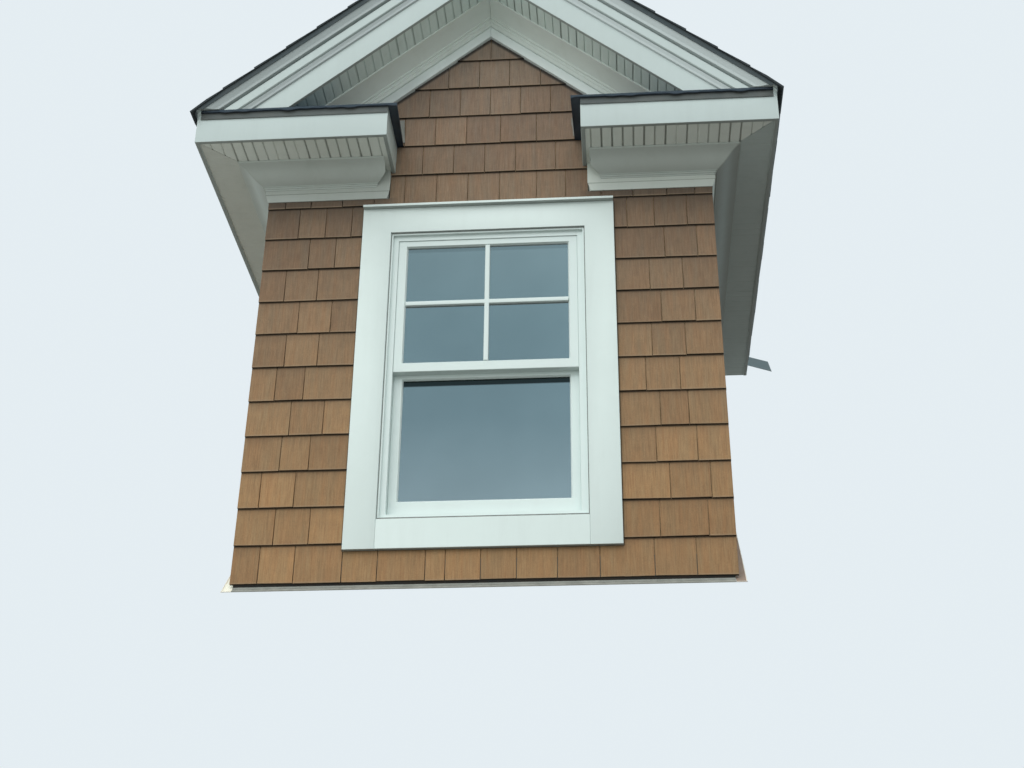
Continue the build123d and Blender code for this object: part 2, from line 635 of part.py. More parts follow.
def gable_frieze():
    """Crown, bed mouldings and frieze along the right-hand side of the gable."""
    bed_out = FRIEZE_T + 10.0
    crown = [(out, RAKE_SOFFIT - z) for out, z in crown_face(GABLE_CROWN, GABLE_REACH, bed_out, 0.0)]
    bed = RAKE_SOFFIT + GABLE_CROWN
    return rake_run([(0.0, RAKE_SOFFIT)] + crown + [(bed_out, bed + GABLE_BED / 2), (FRIEZE_T + 5.0, bed + GABLE_BED / 2),
                             (FRIEZE_T + 5.0, bed + GABLE_BED), (FRIEZE_T, bed + GABLE_BED),
                             (FRIEZE_T, GABLE_FRIEZE_FOOT), (0.0, GABLE_FRIEZE_FOOT)])


# Window

def ring(half, foot, top, inner_half, inner_foot, inner_top, out0, out1):
    """A rectangular frame between two distances out from the sheathing."""
    y0, y1 = FRONT - out1, FRONT - out0
    outer = block(-half, half, y0, y1, foot, top)
    return outer - block(-inner_half, inner_half, y0 - 1.0, y1 + 1.0, inner_foot, inner_top)


def side_casing():
    """The right-hand casing, from the bottom casing's foot to the head."""
    return block(OPEN_HALF, CASING_HALF, FRONT - CASING_T, FRONT, CASING_FOOT, HEAD_Z)


def head_casing():
    """The casing over the window, running over the side casings."""
    return block(-CASING_HALF, CASING_HALF, FRONT - CASING_T, FRONT, HEAD_Z, CASING_TOP)


def bottom_casing():
    """The casing under the window, between the side casings."""
    return block(-OPEN_HALF, OPEN_HALF, FRONT - CASING_T, FRONT, CASING_FOOT, SILL_Z)


def drip_cap():
    """The sloped cap over the head casing."""
    section = [(0.0, CASING_TOP), (CASING_T + CAP_OUT, CASING_TOP), (CASING_T + CAP_OUT, CASING_TOP + CAP_EDGE),
               (0.0, CASING_TOP + CAP_H)]
    return front_run(section, -CASING_HALF, CASING_HALF)


def window_frame():
    """Jambs, head and sloping sill, stepped from the casing in to the sashes."""
    inside = -SHEATH - STUD_D
    frame = ring(FRAME_HALF, FRAME_FOOT, FRAME_TOP, JAMB_IN, SILL_TOP, SASH_TOP, inside, 0.0)
    frame += ring(OPEN_HALF, SILL_Z, HEAD_Z, OPEN_HALF - FRAME_BEAD, SILL_Z + FRAME_BEAD, HEAD_Z - FRAME_BEAD,
                  0.0, BEAD_OUT)
    frame += ring(OPEN_HALF, SILL_Z, HEAD_Z, JAMB_IN, SILL_TOP, SASH_TOP, 0.0, STEP_OUT)
    fall = [(SASH_OUT - SASH_T, SILL_TOP + 1.0), (SASH_OUT - SASH_T, SILL_TOP),
            (STEP_OUT, SILL_TOP - SILL_FALL), (STEP_OUT + 1.0, SILL_TOP + 1.0)]
    return frame - front_run(fall, -JAMB_IN, JAMB_IN)


def sash(foot, top, low_rail, high_rail, out):
    """A sash with a groove for its pane, and the pane."""
    frame = ring(SASH_HALF, foot, top, SASH_HALF - STILE, foot + low_rail, top - high_rail, out - SASH_T, out)
    middle = FRONT - out + SASH_T / 2
    half = SASH_HALF - STILE + GLASS_BITE
    pane = block(-half, half, middle - GLASS_T / 2, middle + GLASS_T / 2,
                 foot + low_rail - GLASS_BITE, top - high_rail + GLASS_BITE)
    return frame - pane, pane


# Flashings

def apron_flashing():
    """The apron under the window wall: up behind the shingles and down the main roof."""
    reach = WALL_HALF - APRON_SHORT
    run = APRON_LEG / MAIN_SLOPE
    leg = block(-reach, reach, FRONT - run, FRONT, FOOT - run, FOOT) & over_main(0.0, METAL * MAIN_SLOPE)
    return leg + apron_upstand()


def side_flashing():
    """The flashing beside the right-hand cheek, on the main roof and up behind the shingles."""
    run = APRON_LEG / MAIN_SLOPE
    leg = block(WALL_HALF, WALL_HALF + SIDE_LEG, FRONT - run, BACK, FOOT - run, SOFFIT_Z)
    return (leg & over_main(0.0, METAL * MAIN_SLOPE)) + side_upstand()


def main():
    """Build every piece and write it to its file."""
    os.makedirs("parts", exist_ok=True)
    save("front_sole_plate", front_sole_plate())
    save("front_studs", *front_studs())
    save("window_sill_plate", window_sill_plate())
    save("window_header", window_header())
    save("front_tie_plate", front_tie_plate())
    save("cheek_sole_plates", pair(cheek_sole_plate()))
    save("cheek_studs", *[pair(stud) for stud in cheek_studs()])
    save("cheek_top_plates", pair(cheek_top_plate()))
    save("ridge_board", ridge_board())
    save("rafters", *[pair(piece) for piece in rafters() + [barge_rafter()]])
    save("valley_plates", pair(valley_plate()))
    save("front_sheathing", front_sheathing())
    save("cheek_sheathing", pair(cheek_sheathing()))
    save("front_shingles", front_shingles())
    save("cheek_shingles", pair(cheek_shingles()))
    save("ridge_cap", ridge_cap())
    save("eave_drips", pair(eave_drip()))
    save("return_friezes", pair(cornice_front()))
    save("eave_friezes", pair(cornice_side()))
    save("return_fascias", pair(return_fascia()))
    save("eave_fascias", pair(eave_fascia()))
    save("return_soffits", pair(return_soffit()))
    save("eave_soffits", pair(eave_soffit()))
    save("return_ends", pair(return_end()))
    save("return_roofs", pair(return_roof()))
    save("return_lookouts", *[pair(piece) for piece in return_lookouts()])
    save("roof_decks", pair(roof_deck()))
    save("roof_shingles", pair(roof_shingles()))
    save("valley_flashings", pair(valley_flashing()))
    save("rake_drips", pair(rake_drip()))
    save("return_drips", pair(return_drip()))
    save("rake_boards", pair(rake_board()))
    save("rake_mouldings", pair(rake_moulding()))
    save("rake_soffits", pair(rake_soffit()))
    save("gable_friezes", pair(gable_frieze()))
    save("side_casings", pair(side_casing()))
    save("head_casing", head_casing())
    save("bottom_casing", bottom_casing())
    save("drip_cap", drip_cap())
    save("window_frame", window_frame())
    upper, upper_pane = sash(MEETING - CHECK_LAP / 2, SASH_TOP, CHECK_RAIL, TOP_RAIL, SASH_OUT)
    lower, lower_pane = sash(SILL_TOP, MEETING + CHECK_LAP / 2, BOTTOM_RAIL, LOWER_CHECK,
                             SASH_OUT - SASH_T - SASH_GAP)
    save("upper_sash", upper)
    save("lower_sash", lower)
    save("window_panes", upper_pane, lower_pane)
    save("apron_flashing", apron_flashing())
    save("side_flashings", pair(side_flashing()))


main()
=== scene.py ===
# %% [markdown]
# # A gabled dormer with boxed cornice returns
#
# The part is a small house front that stands on a slope: a wall of stained cedar shingles with
# one double-hung window, a gable with a moulded rake, and two short returns of the cornice. The
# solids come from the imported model. This file gives them their finish and adds what is too fine
# for them: every shingle, the smooth mouldings, the grooved soffits and the window bars. X is to
# the right, Y runs back into the slope, Z is up, all in metres.

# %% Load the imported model
import math
import bmesh
import bpy
import numpy as np
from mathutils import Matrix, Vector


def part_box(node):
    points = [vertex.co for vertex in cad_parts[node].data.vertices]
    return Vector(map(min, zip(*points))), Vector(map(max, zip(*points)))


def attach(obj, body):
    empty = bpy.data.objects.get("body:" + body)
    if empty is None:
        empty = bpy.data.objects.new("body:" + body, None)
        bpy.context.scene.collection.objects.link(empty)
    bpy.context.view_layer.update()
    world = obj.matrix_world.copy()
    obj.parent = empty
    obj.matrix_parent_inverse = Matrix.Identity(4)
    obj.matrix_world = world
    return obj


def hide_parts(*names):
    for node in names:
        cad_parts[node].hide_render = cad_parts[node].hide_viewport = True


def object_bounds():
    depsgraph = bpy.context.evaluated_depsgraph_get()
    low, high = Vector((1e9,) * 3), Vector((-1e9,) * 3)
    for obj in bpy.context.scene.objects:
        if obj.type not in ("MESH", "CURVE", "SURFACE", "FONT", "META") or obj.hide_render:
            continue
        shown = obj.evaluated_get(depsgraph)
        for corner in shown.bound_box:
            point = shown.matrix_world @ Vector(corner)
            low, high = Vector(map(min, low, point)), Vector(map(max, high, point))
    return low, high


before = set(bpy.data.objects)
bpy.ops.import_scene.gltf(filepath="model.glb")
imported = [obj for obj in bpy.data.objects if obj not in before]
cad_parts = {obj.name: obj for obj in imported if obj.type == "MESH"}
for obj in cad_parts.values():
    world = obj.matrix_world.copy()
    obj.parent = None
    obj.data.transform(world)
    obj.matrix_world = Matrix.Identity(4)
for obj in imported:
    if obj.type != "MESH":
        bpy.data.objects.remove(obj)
cad_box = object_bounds()
print("solids loaded:", len(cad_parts), "box", [round(v, 3) for corner in cad_box for v in corner])

# %% [markdown]
# ## Sizes
#
# The sizes repeat the ones the solids were made from. Everything on the wall is measured out
# from the sheathing, and everything on the roof is measured square to its slope.

# %% Sizes of the dormer
WALL = 1.070                # sheathing face of each cheek, from the middle
FRONT = -0.0565             # sheathing face of the window wall
FOOT = -0.0425              # lower edge of the first course
COURSE = 0.1778             # exposure of a course
BUTT, LAPPED = 0.016, 0.006  # shingle thickness at its butt and where the next course covers it
LIFT = 0.030                # shingles above the slope that the cheeks stand on
FRIEZE = 1.9505             # lower edge of the frieze board
SOFFIT = 2.1085             # under side of the soffit panels
FASCIA_LOW, FASCIA_TOP = 2.1025, 2.2715
OVERHANG, BOARD = 0.321, 0.019
EAVE = WALL + OVERHANG
RETURN_IN = 0.462           # inner end of a return
RETURN_LIP, RETURN_TOP = 0.045, 2.2855   # covering past the inner end, and its top
NARROW_RIGHT, NARROW_LEFT = 0.008, 0.014  # how far that lip narrows towards the wall
END = RETURN_IN + 0.022     # inner end of the boards under a return
RISE = 10 / 12
SLOPE = math.hypot(1, RISE)
DECK = 3.4463               # top of the roof sheathing over the middle
ROOF = 3.4619               # top of the roof shingles over the middle
RAKE_SOFFIT, GABLE_FOOT = 0.280, 0.397    # rake soffit and gable frieze, square to the slope
RAKE_FACE, RAKE_OUT = 0.317, 0.351
OPEN_HALF, SILL, HEAD = 0.465, 0.2415, 1.7405
CASING, CASING_T, CAP = 0.140, 0.028, 0.017
CASING_OUT, CASING_FOOT = OPEN_HALF + CASING, SILL - CASING

print("wall width", 2 * WALL, "ridge", ROOF, "opening", 2 * OPEN_HALF, "by", round(HEAD - SILL, 3))

# %% [markdown]
# ## Small tools for meshes
#
# Nearly all the trim is a profile carried along a path: a board, a crown or a groove has one
# outline, and a mitre only moves the outline's points further along. So the one tool that
# matters takes a stack of rings with the same number of points and skins them. The points are
# whole arrays; only the faces are listed.

# %% Skin a stack of rings
def shell(rings, loop=False):
    """A closed solid from rings of equal length: quads join point j of one ring to point j of
    the next. One flat face closes each end; in a loop, such as a frame round an opening, the
    last ring joins the first instead."""
    rings = np.asarray(rings, float)
    count, across = rings.shape[:2]
    i, j = np.meshgrid(np.arange(count if loop else count - 1), np.arange(across), indexing="ij")
    here, following, k = i * across, (i + 1) % count * across, (j + 1) % across
    faces = np.stack([here + j, here + k, following + k, following + j], -1).reshape(-1, 4).tolist()
    if not loop:
        last = (count - 1) * across
        faces += [list(range(across))[::-1], list(range(last, last + across))]
    return rings.reshape(-1, 3), faces


def both(*solids):
    """Each solid with its mirror image: x changes its sign."""
    return [side for points, faces in solids for side in ((points, faces), (points * (-1.0, 1.0, 1.0), faces))]


def mm(points, out=0.0, up=0.0):
    """Points of a section in millimetres, moved by metres out and up."""
    return np.array(points, float) / 1000 + (out, up)


def along_x(section, x0, x1):
    """A section of (out, height) carried along the window wall from x0 to x1."""
    out, z = np.asarray(section, float).T
    return shell([np.stack([np.full(len(out), x), FRONT - out, z], 1) for x in (x0, x1)])


def eased(corners, ease, steps=3):
    """A closed outline with its corners rounded: each corner c gives way to the curve
    (1-t)^2 a + 2t(1-t) c + t^2 b, where a and b lie the ease away along its two sides."""
    c = np.asarray(corners, float)
    back, ahead = np.roll(c, 1, 0) - c, np.roll(c, -1, 0) - c
    a = c + back / np.linalg.norm(back, axis=1, keepdims=True) * ease
    b = c + ahead / np.linalg.norm(ahead, axis=1, keepdims=True) * ease
    t = np.linspace(0, 1, steps + 1)[None, :, None]
    curve = (1 - t) ** 2 * a[:, None] + 2 * t * (1 - t) * c[:, None] + t ** 2 * b[:, None]
    return curve.reshape(-1, 2)


# %% Turn solids into a named piece
pieces_made = {}


def piece(name, solids, material, slot, *nodes, smooth=32.0, values=None):
    """One object from closed solids. Doubles are merged, faces are turned outwards, and edges
    sharper than the angle stay sharp. Values are named numbers, one for each point."""
    points, faces, start = [], [], 0
    for solid_points, solid_faces in solids:
        points.append(solid_points)
        faces += [[start + i for i in face] for face in solid_faces]
        start += len(solid_points)
    mesh = bpy.data.meshes.new(name)
    mesh.from_pydata(np.concatenate(points).tolist(), [], faces)
    for key, numbers in (values or {}).items():
        mesh.attributes.new(key, "FLOAT", "POINT").data.foreach_set("value", np.asarray(numbers, np.float32))
    work = bmesh.new()
    work.from_mesh(mesh)
    bmesh.ops.remove_doubles(work, verts=work.verts, dist=2e-6)
    bmesh.ops.recalc_face_normals(work, faces=work.faces)
    work.to_mesh(mesh)
    work.free()
    mesh.polygons.foreach_set("use_smooth", np.ones(len(mesh.polygons), bool))
    mesh.set_sharp_from_angle(angle=math.radians(smooth))
    mesh.materials.append(material)
    made = bpy.data.objects.new(name, mesh)
    bpy.context.scene.collection.objects.link(made)
    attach(made, "root")
    if nodes:
        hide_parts(*nodes)
    pieces_made[name] = len(mesh.polygons)
    return made


def trim(name, solids, material, *nodes, **more):
    """A painted piece on both sides: the solids and their mirror images."""
    return piece(name, both(*solids), material, "white_trim", *nodes, **more)


# %% [markdown]
# ## Camera
#
# The camera stands on the ground in front of the house and looks up. Its place and turn were
# fitted to the straight lines of the casings, the fascias and the rakes. Yaw, pitch and roll
# are worked into one matrix, because angles in words are easier to check than a quaternion.

# %% Camera
def look(place, yaw, pitch, roll):
    """A camera matrix: forward is turned left by yaw and up by pitch, then rolled about itself."""
    yaw, pitch, roll = map(math.radians, (yaw, pitch, roll))
    ahead = np.array([-math.sin(yaw) * math.cos(pitch), math.cos(yaw) * math.cos(pitch), math.sin(pitch)])
    right = np.array([math.cos(yaw), math.sin(yaw), 0.0])
    up = np.cross(right, ahead)
    turned = np.eye(4)
    turned[:3, 0] = math.cos(roll) * right + math.sin(roll) * up
    turned[:3, 1] = math.cos(roll) * up - math.sin(roll) * right
    turned[:3, 2] = -ahead
    turned[:3, 3] = place
    return turned


lens = bpy.data.cameras.new("camera")
lens.lens, lens.sensor_width = 53.15, 36.0
camera = bpy.data.objects.new("camera", lens)
bpy.context.scene.collection.objects.link(camera)
camera.matrix_world = look((0.5886, -6.0528, -2.3955), 4.446, 28.75, 0.4676).T.tolist()
bpy.context.scene.camera = camera
print("camera", [round(v, 3) for v in camera.matrix_world.translation])

# %% [markdown]
# ## Node tools
#
# A material is a small tree of nodes. One helper adds a node with its settings and links, and
# the rest are short names for the nodes used most. Effects that several finishes share, grain
# and weathering, are groups, built once and placed in each material with its own numbers.

# %% Node tools
def add(tree, kind, inputs=None, **settings):
    """A node with its settings; an input takes a number, a colour or another node's socket."""
    made = tree.nodes.new(kind)
    for key, value in settings.items():
        setattr(made, key, value)
    for key, value in (inputs or {}).items():
        socket = made.inputs[key]
        if isinstance(value, bpy.types.NodeSocket):
            tree.links.new(value, socket)
        else:
            socket.default_value = (*value, 1.0) if socket.type == "RGBA" else value
    return made


def place(tree, shared, inputs):
    """A shared group placed in a material."""
    return add(tree, "ShaderNodeGroup", inputs, node_tree=shared).outputs


def ramp(tree, factor, stops):
    """A colour ramp from (position, colour) pairs."""
    made = add(tree, "ShaderNodeValToRGB", {"Fac": factor})
    band = made.color_ramp
    while len(band.elements) < len(stops):
        band.elements.new(0.5)
    for element, (position, colour) in zip(band.elements, stops):
        element.position, element.color = position, (*colour, 1.0)
    return made.outputs["Color"]


def blend(tree, factor, first, second, kind="MIX"):
    """Two colours mixed by a factor: first * (1 - factor) + second * factor."""
    made = add(tree, "ShaderNodeMix", {0: factor, 6: first, 7: second}, data_type="RGBA", blend_type=kind)
    return made.outputs[2]


def tinted(tree, colour, tint, where=1.0):
    """A colour times a tint, where the mask is 1."""
    return blend(tree, where, colour, tint, "MULTIPLY")


def span(tree, value, low, high, to_low=0.0, to_high=1.0):
    """A value stretched from one range to another, and held at its ends."""
    return add(tree, "ShaderNodeMapRange", {"Value": value, "From Min": low, "From Max": high,
                                            "To Min": to_low, "To Max": to_high}).outputs["Result"]


def maths(tree, operation, *values, **settings):
    """One step of arithmetic."""
    return add(tree, "ShaderNodeMath", dict(enumerate(values)), operation=operation, **settings).outputs[0]


def times(tree, value, *factors):
    """The product of several values."""
    for factor in factors:
        value = maths(tree, "MULTIPLY", value, factor)
    return value


def axes(tree, vector):
    """The X, Y and Z of a vector."""
    return add(tree, "ShaderNodeSeparateXYZ", {"Vector": vector}).outputs


def noise(tree, vector, scale, detail, **more):
    """Noise around 0.5."""
    inputs = {"Vector": vector, "Scale": scale, "Detail": detail, **more}
    return add(tree, "ShaderNodeTexNoise", inputs).outputs["Fac"]


def carried(tree, name):
    """A number that rides on the mesh."""
    return add(tree, "ShaderNodeAttribute", attribute_name=name).outputs["Fac"]


# %% Shared effects: grain and weathering
def group(name, numbers, results):
    """A shader group with a vector and named numbers in, and named masks out."""
    tree = bpy.data.node_groups.new(name, "ShaderNodeTree")
    tree.interface.new_socket(name="Vector", in_out="INPUT", socket_type="NodeSocketVector")
    for socket, value in numbers.items():
        made = tree.interface.new_socket(name=socket, in_out="INPUT", socket_type="NodeSocketFloat")
        made.default_value = value
    for socket in results:
        tree.interface.new_socket(name=socket, in_out="OUTPUT", socket_type="NodeSocketFloat")
    return tree, tree.nodes.new("NodeGroupInput").outputs, tree.nodes.new("NodeGroupOutput").inputs


grain_group, given, result = group("grain", {"Across": 160.0, "Along": 5.0}, ("Streaks", "Fine"))
across = given["Across"]
scales = add(grain_group, "ShaderNodeCombineXYZ", {"X": across, "Y": across, "Z": given["Along"]})
stretched = add(grain_group, "ShaderNodeVectorMath", {0: given["Vector"], 1: scales.outputs[0]},
                operation="MULTIPLY").outputs[0]
streaks = noise(grain_group, stretched, 1.0, 3.0, Roughness=0.55, Distortion=0.25)
finer = noise(grain_group, stretched, 3.7, 2.0, Roughness=0.6)
grain_group.links.new(streaks, result["Streaks"])
grain_group.links.new(finer, result["Fine"])

weather_group, given, result = group("weather", {"Scale": 3.0, "Low": 0.45, "High": 0.7}, ("Mask", "Speckle"))
clouds = noise(weather_group, given["Vector"], given["Scale"], 5.0, Roughness=0.62)
speckles = noise(weather_group, given["Vector"], 260.0, 1.0)
weather_group.links.new(span(weather_group, clouds, given["Low"], given["High"]), result["Mask"])
weather_group.links.new(speckles, result["Speckle"])
print("shared groups:", grain_group.name, weather_group.name)


# %% Start and end of a material
def finish(name, **sockets):
    """A material with one Principled BSDF whose plain numbers sit on its own sockets."""
    made = bpy.data.materials.new(name)
    made.use_nodes = True
    tree = made.node_tree
    shader = tree.nodes["Principled BSDF"]
    for key, value in sockets.items():
        shader.inputs[key.replace("_", " ").title().replace("Ior", "IOR")].default_value = value
    return made, tree, shader, add(tree, "ShaderNodeTexCoord").outputs["Object"]


def coat_with(tree, shader, colour, height, distance):
    """Link a colour, and a bump in metres that feeds the shader's normal."""
    tree.links.new(colour, shader.inputs["Base Color"])
    bump = add(tree, "ShaderNodeBump", {"Height": height, "Distance": distance, "Strength": 1.0})
    tree.links.new(bump.outputs["Normal"], shader.inputs["Normal"])


# %% [markdown]
# ## Stained cedar
#
# Each shingle has its own tone and its own run of grain. Three numbers ride on the mesh: a
# random tone, a random shift for the grain, and the height above the butt. The butt itself
# faces the ground and is painted nearly black: partly its dark end grain, partly painted shade.
# The lip above it is worn lighter, and painted shade darkens each shingle under the next course,
# with a painted shadow line right under the butt. A ramp by height paints light and shade on the
# wall: darker and bluer up to the eaves, lighter and much bluer at the top of the gable. Painted
# shade makes it nearly black in a strip under the frieze boards, and a painted shadow draws a thin
# line under the gable frieze and beside the casings.

# %% Stained cedar shingles
cedar, tree, shader, at = finish("stained_cedar", roughness=0.82)
tone, shift, rise = (carried(tree, name) for name in ("tone", "shift", "rise"))
moved = add(tree, "ShaderNodeCombineXYZ", {"X": shift, "Y": shift, "Z": shift}).outputs[0]
own = add(tree, "ShaderNodeVectorMath", {0: at, 1: moved}, operation="ADD").outputs[0]
grain = place(tree, grain_group, {"Vector": own, "Across": 165.0, "Along": 5.0})
bands = place(tree, grain_group, {"Vector": own, "Across": 34.0, "Along": 2.4})
mottle = place(tree, weather_group, {"Vector": own, "Scale": 22.0, "Low": 0.30, "High": 0.70})
spot = axes(tree, at)
aside = maths(tree, "ABSOLUTE", spot["X"])
up_slope = maths(tree, "MULTIPLY_ADD", aside, RISE, spot["Z"])
stain = ramp(tree, span(tree, grain["Streaks"], 0.28, 0.72),
             [(0.0, (0.254, 0.153, 0.078)), (0.5, (0.297, 0.184, 0.095)), (1.0, (0.336, 0.213, 0.113))])
tints = (
    blend(tree, span(tree, bands["Streaks"], 0.35, 0.68), (1.04, 0.97, 0.92), (0.96, 1.0, 1.02)),
    blend(tree, mottle["Mask"], (0.93, 0.93, 0.945), (1.05, 1.045, 1.03)),
    blend(tree, span(tree, mottle["Speckle"], 0.35, 0.65), (0.92, 0.92, 0.925), (1.07, 1.065, 1.06)),
    ramp(tree, tone, [(0.0, (0.86, 0.85, 0.86)), (0.5, (0.98, 0.98, 0.98)), (1.0, (1.09, 1.08, 1.06))]),
    # Painted light and shade by height: lighter at the foot, darker and bluer up to the eaves, lighter and much
    # bluer at the top of the gable.
    ramp(tree, span(tree, spot["Z"], 0.2, 3.1),
         [(0.034, (1.10, 1.08, 1.01)), (0.276, (0.90, 0.935, 1.0)), (0.552, (0.75, 0.83, 1.06)),
          (0.638, (0.80, 0.89, 1.14)), (0.741, (0.86, 0.97, 1.31)), (0.966, (1.09, 1.38, 2.10))]))
for tint in tints:
    stain = tinted(tree, stain, tint)

# %% Painted shade, dark end grain and worn places of the cedar
# Painted shade: a near-black strip on the wall under the frieze boards of the returns.
shade_under_frieze = times(tree, span(tree, spot["Z"], 1.80, 1.95, 0.0, 0.5), span(tree, aside, 0.44, 0.50),
                     span(tree, spot["Z"], 1.96, 1.95))
over_casing = HEAD + CASING
# Painted shadow: a thin dark line on the shingles beside the casings.
shadow_beside_casing = times(tree, span(tree, aside, CASING_OUT + 0.0080, CASING_OUT + 0.0035, 0.0, 0.80),
                      span(tree, spot["Z"], CASING_FOOT - 0.0035, CASING_FOOT + 0.0005),
                      span(tree, spot["Z"], over_casing + 0.0075, over_casing + 0.0015))
# Painted shadow: a thin dark line on the shingles under the gable frieze.
shadow_under_gable_frieze = span(tree, up_slope, ROOF - 0.419 * SLOPE, ROOF - 0.408 * SLOPE, 0.0, 0.90)
worn_lip = span(tree, rise, 0.006, 0.040, 0.40, 0.0)
# Painted shade: each shingle darker near its head, under the next course.
shade_under_next_course = span(tree, rise, 0.70, 1.0, 0.0, 0.26)
# Painted shadow: a dark line on each shingle just under the butt above it.
shadow_line_under_butt = span(tree, rise, 0.940, 0.985, 0.0, 0.84)
# The butt face, nearly black: partly its own dark end grain, partly painted shade, as it faces the ground.
butt_grain_and_shade = span(tree, rise, -0.14, -0.02, 0.95, 0.0)
# Colours for the painted shade and shadows, the worn lip and the butt's end grain and shade.
for mask, colour in ((shade_under_frieze, (0.050, 0.045, 0.042)), (worn_lip, (0.40, 0.30, 0.205)),
                     (shade_under_next_course, (0.13, 0.090, 0.060)), (shadow_line_under_butt, (0.035, 0.022, 0.013)),
                     (shadow_beside_casing, (0.040, 0.028, 0.018)), (shadow_under_gable_frieze, (0.030, 0.026, 0.024)),
                     (butt_grain_and_shade, (0.022, 0.013, 0.007))):
    stain = blend(tree, mask, stain, colour)
coat_with(tree, shader, stain, maths(tree, "ADD", grain["Streaks"], grain["Fine"]), 0.0007)
print("cedar:", len(tree.nodes), "nodes")

# %% [markdown]
# ## Painted trim
#
# White house paint in soft daylight is never one value: rain leaves faint grey runs under
# laps, and the coat shows brush marks along the board. Faces that look at the ground get painted
# shade: the normal's height picks them out. The same function makes each paint, with its own
# colour, soil and amounts; several paints are lighter or darker copies of the one white, painted
# light and shade for where they stand.

# %% White paint, soffit panel, window finish
UNDERSIDE_SHADE_COLOUR, GROOVE_SHADE_COLOUR, FOOT_SHADE_COLOUR = (0.16, 0.165, 0.15), (0.16, 0.165, 0.145), (0.17, 0.30, 0.38)


def paint(name, colour, soiled, roughness, amount, brush=0.00012, below=0.75, grooves=0.0, eaves=(), left=1.0):
    """House paint: a base colour, a soil colour held back by a cloud mask, brush marks, and painted
    shade on faces whose normal points down: (-0.55 - n_z) / 0.4, held between 0 and 1, times below.
    Left of the window the coat is multiplied by left, painted shade on that side. Under the left and
    right eaves, past the mitre with the returns, where |x| + y is 1.01 m, it is multiplied by the two
    colours in eaves, painted shade there. Grooved panels carry a number that is 1 in a groove and
    falls to 0 beside it: painted shade follows it, less so on the left. The rakes' panels are paler,
    and carry a dark blue painted shade just above the returns."""
    made, tree, shader, at = finish(name, roughness=roughness)
    clouds = place(tree, weather_group, {"Vector": at, "Scale": 2.6, "Low": 0.42, "High": 0.78})
    drawn = add(tree, "ShaderNodeMapping", {"Vector": at, "Scale": (14.0, 14.0, 1.6)}).outputs["Vector"]
    runs = place(tree, weather_group, {"Vector": drawn, "Scale": 1.0, "Low": 0.5, "High": 0.8})
    soil = maths(tree, "MULTIPLY", maths(tree, "ADD", clouds["Mask"], runs["Mask"]), amount, use_clamp=True)
    coat = blend(tree, soil, colour, soiled)
    spot = axes(tree, at)
    # Painted shade on faces that look down.
    if below:
        down = axes(tree, add(tree, "ShaderNodeNewGeometry").outputs["Normal"])["Z"]
        coat = blend(tree, span(tree, down, -0.55, -0.95, 0.0, below), coat, UNDERSIDE_SHADE_COLOUR)
    # Painted shade on the left side.
    if left < 1:
        coat = tinted(tree, coat, (left, left, left), span(tree, spot["X"], -0.3, -0.4))
    # Painted shade under the side eaves, past the mitres with the returns, darker on the right.
    for sign, factor in zip((-1.0, 1.0), eaves):
        past = maths(tree, "MULTIPLY_ADD", spot["X"], sign, spot["Y"])
        coat = tinted(tree, coat, factor, span(tree, past, 1.004, 1.016))
    # Painted shade in the grooves, weaker on the left.
    if grooves:
        ragged = times(tree, carried(tree, "groove"), span(tree, runs["Speckle"], 0.3, 0.7, 0.75, 1.25))
        dirt = times(tree, span(tree, ragged, 0.45, 1.05, 0.0, grooves),
                     span(tree, spot["X"], -0.3, 0.3, 0.62, 1.0))
        rake = span(tree, spot["Z"], 2.27, 2.28)
        coat = tinted(tree, blend(tree, dirt, coat, GROOVE_SHADE_COLOUR), (1.13, 1.25, 1.28), rake)
        # Painted shade: a dark blue patch on the rake soffits just above the returns, stronger on the left.
        rake_foot_shade = times(tree, span(tree, spot["Z"], 2.29, 2.52, 1.0, 0.0), rake,
                     span(tree, spot["X"], -0.3, 0.3, 0.85, 0.12))
        coat = blend(tree, rake_foot_shade, coat, FOOT_SHADE_COLOUR)
    marks = place(tree, grain_group, {"Vector": at, "Across": 420.0, "Along": 30.0})
    coat_with(tree, shader, coat, marks["Streaks"], brush)
    return made


# All the trim is white paint. The gable paint and the gable frieze paint are lighter copies of it, painted
# light; the crown, rake and board paints are darker copies, painted shade; the fascia and soffit paints are
# darker as well.
white_paint = paint("white_paint", (0.745, 0.838, 0.815), (0.52, 0.57, 0.54), 0.45, 0.14)
fascia_paint = paint("fascia_paint", (0.535, 0.61, 0.60), (0.44, 0.50, 0.48), 0.42, 0.22)
lit_gable_paint = paint("lit_gable_trim_paint", (0.82, 0.88, 0.84), (0.56, 0.60, 0.53), 0.45, 0.22, below=0.12)
crown_paint = paint("shaded_crown_paint", (0.56, 0.60, 0.565), (0.40, 0.44, 0.39), 0.5, 0.25, below=0.3,
                    eaves=((0.90, 0.89, 0.88), (0.53, 0.52, 0.50)))
shaded_rake_paint = paint("shaded_rake_crown_paint", (0.50, 0.555, 0.555), (0.40, 0.45, 0.44), 0.5, 0.22,
                   below=0.2, left=0.80)
frieze_paint = paint("lit_gable_frieze_paint", (0.91, 0.985, 0.975), (0.68, 0.74, 0.71), 0.45, 0.16,
                     below=0.3, left=0.86)
board_paint = paint("shaded_board_paint", (0.68, 0.72, 0.67), (0.50, 0.54, 0.47), 0.5, 0.22,
                    below=0.6, left=0.77)
soffit_paint = paint("soffit_panel", (0.64, 0.665, 0.62), (0.46, 0.48, 0.43), 0.6, 0.30,
                     below=0.0, grooves=0.60, eaves=((0.85, 0.84, 0.83), (0.61, 0.655, 0.68)))
window_white = paint("window_white", (0.725, 0.815, 0.795), (0.56, 0.61, 0.59), 0.32, 0.10, 0.00004, 0.25)
print("paints:", sum("paint" in made.name for made in bpy.data.materials))

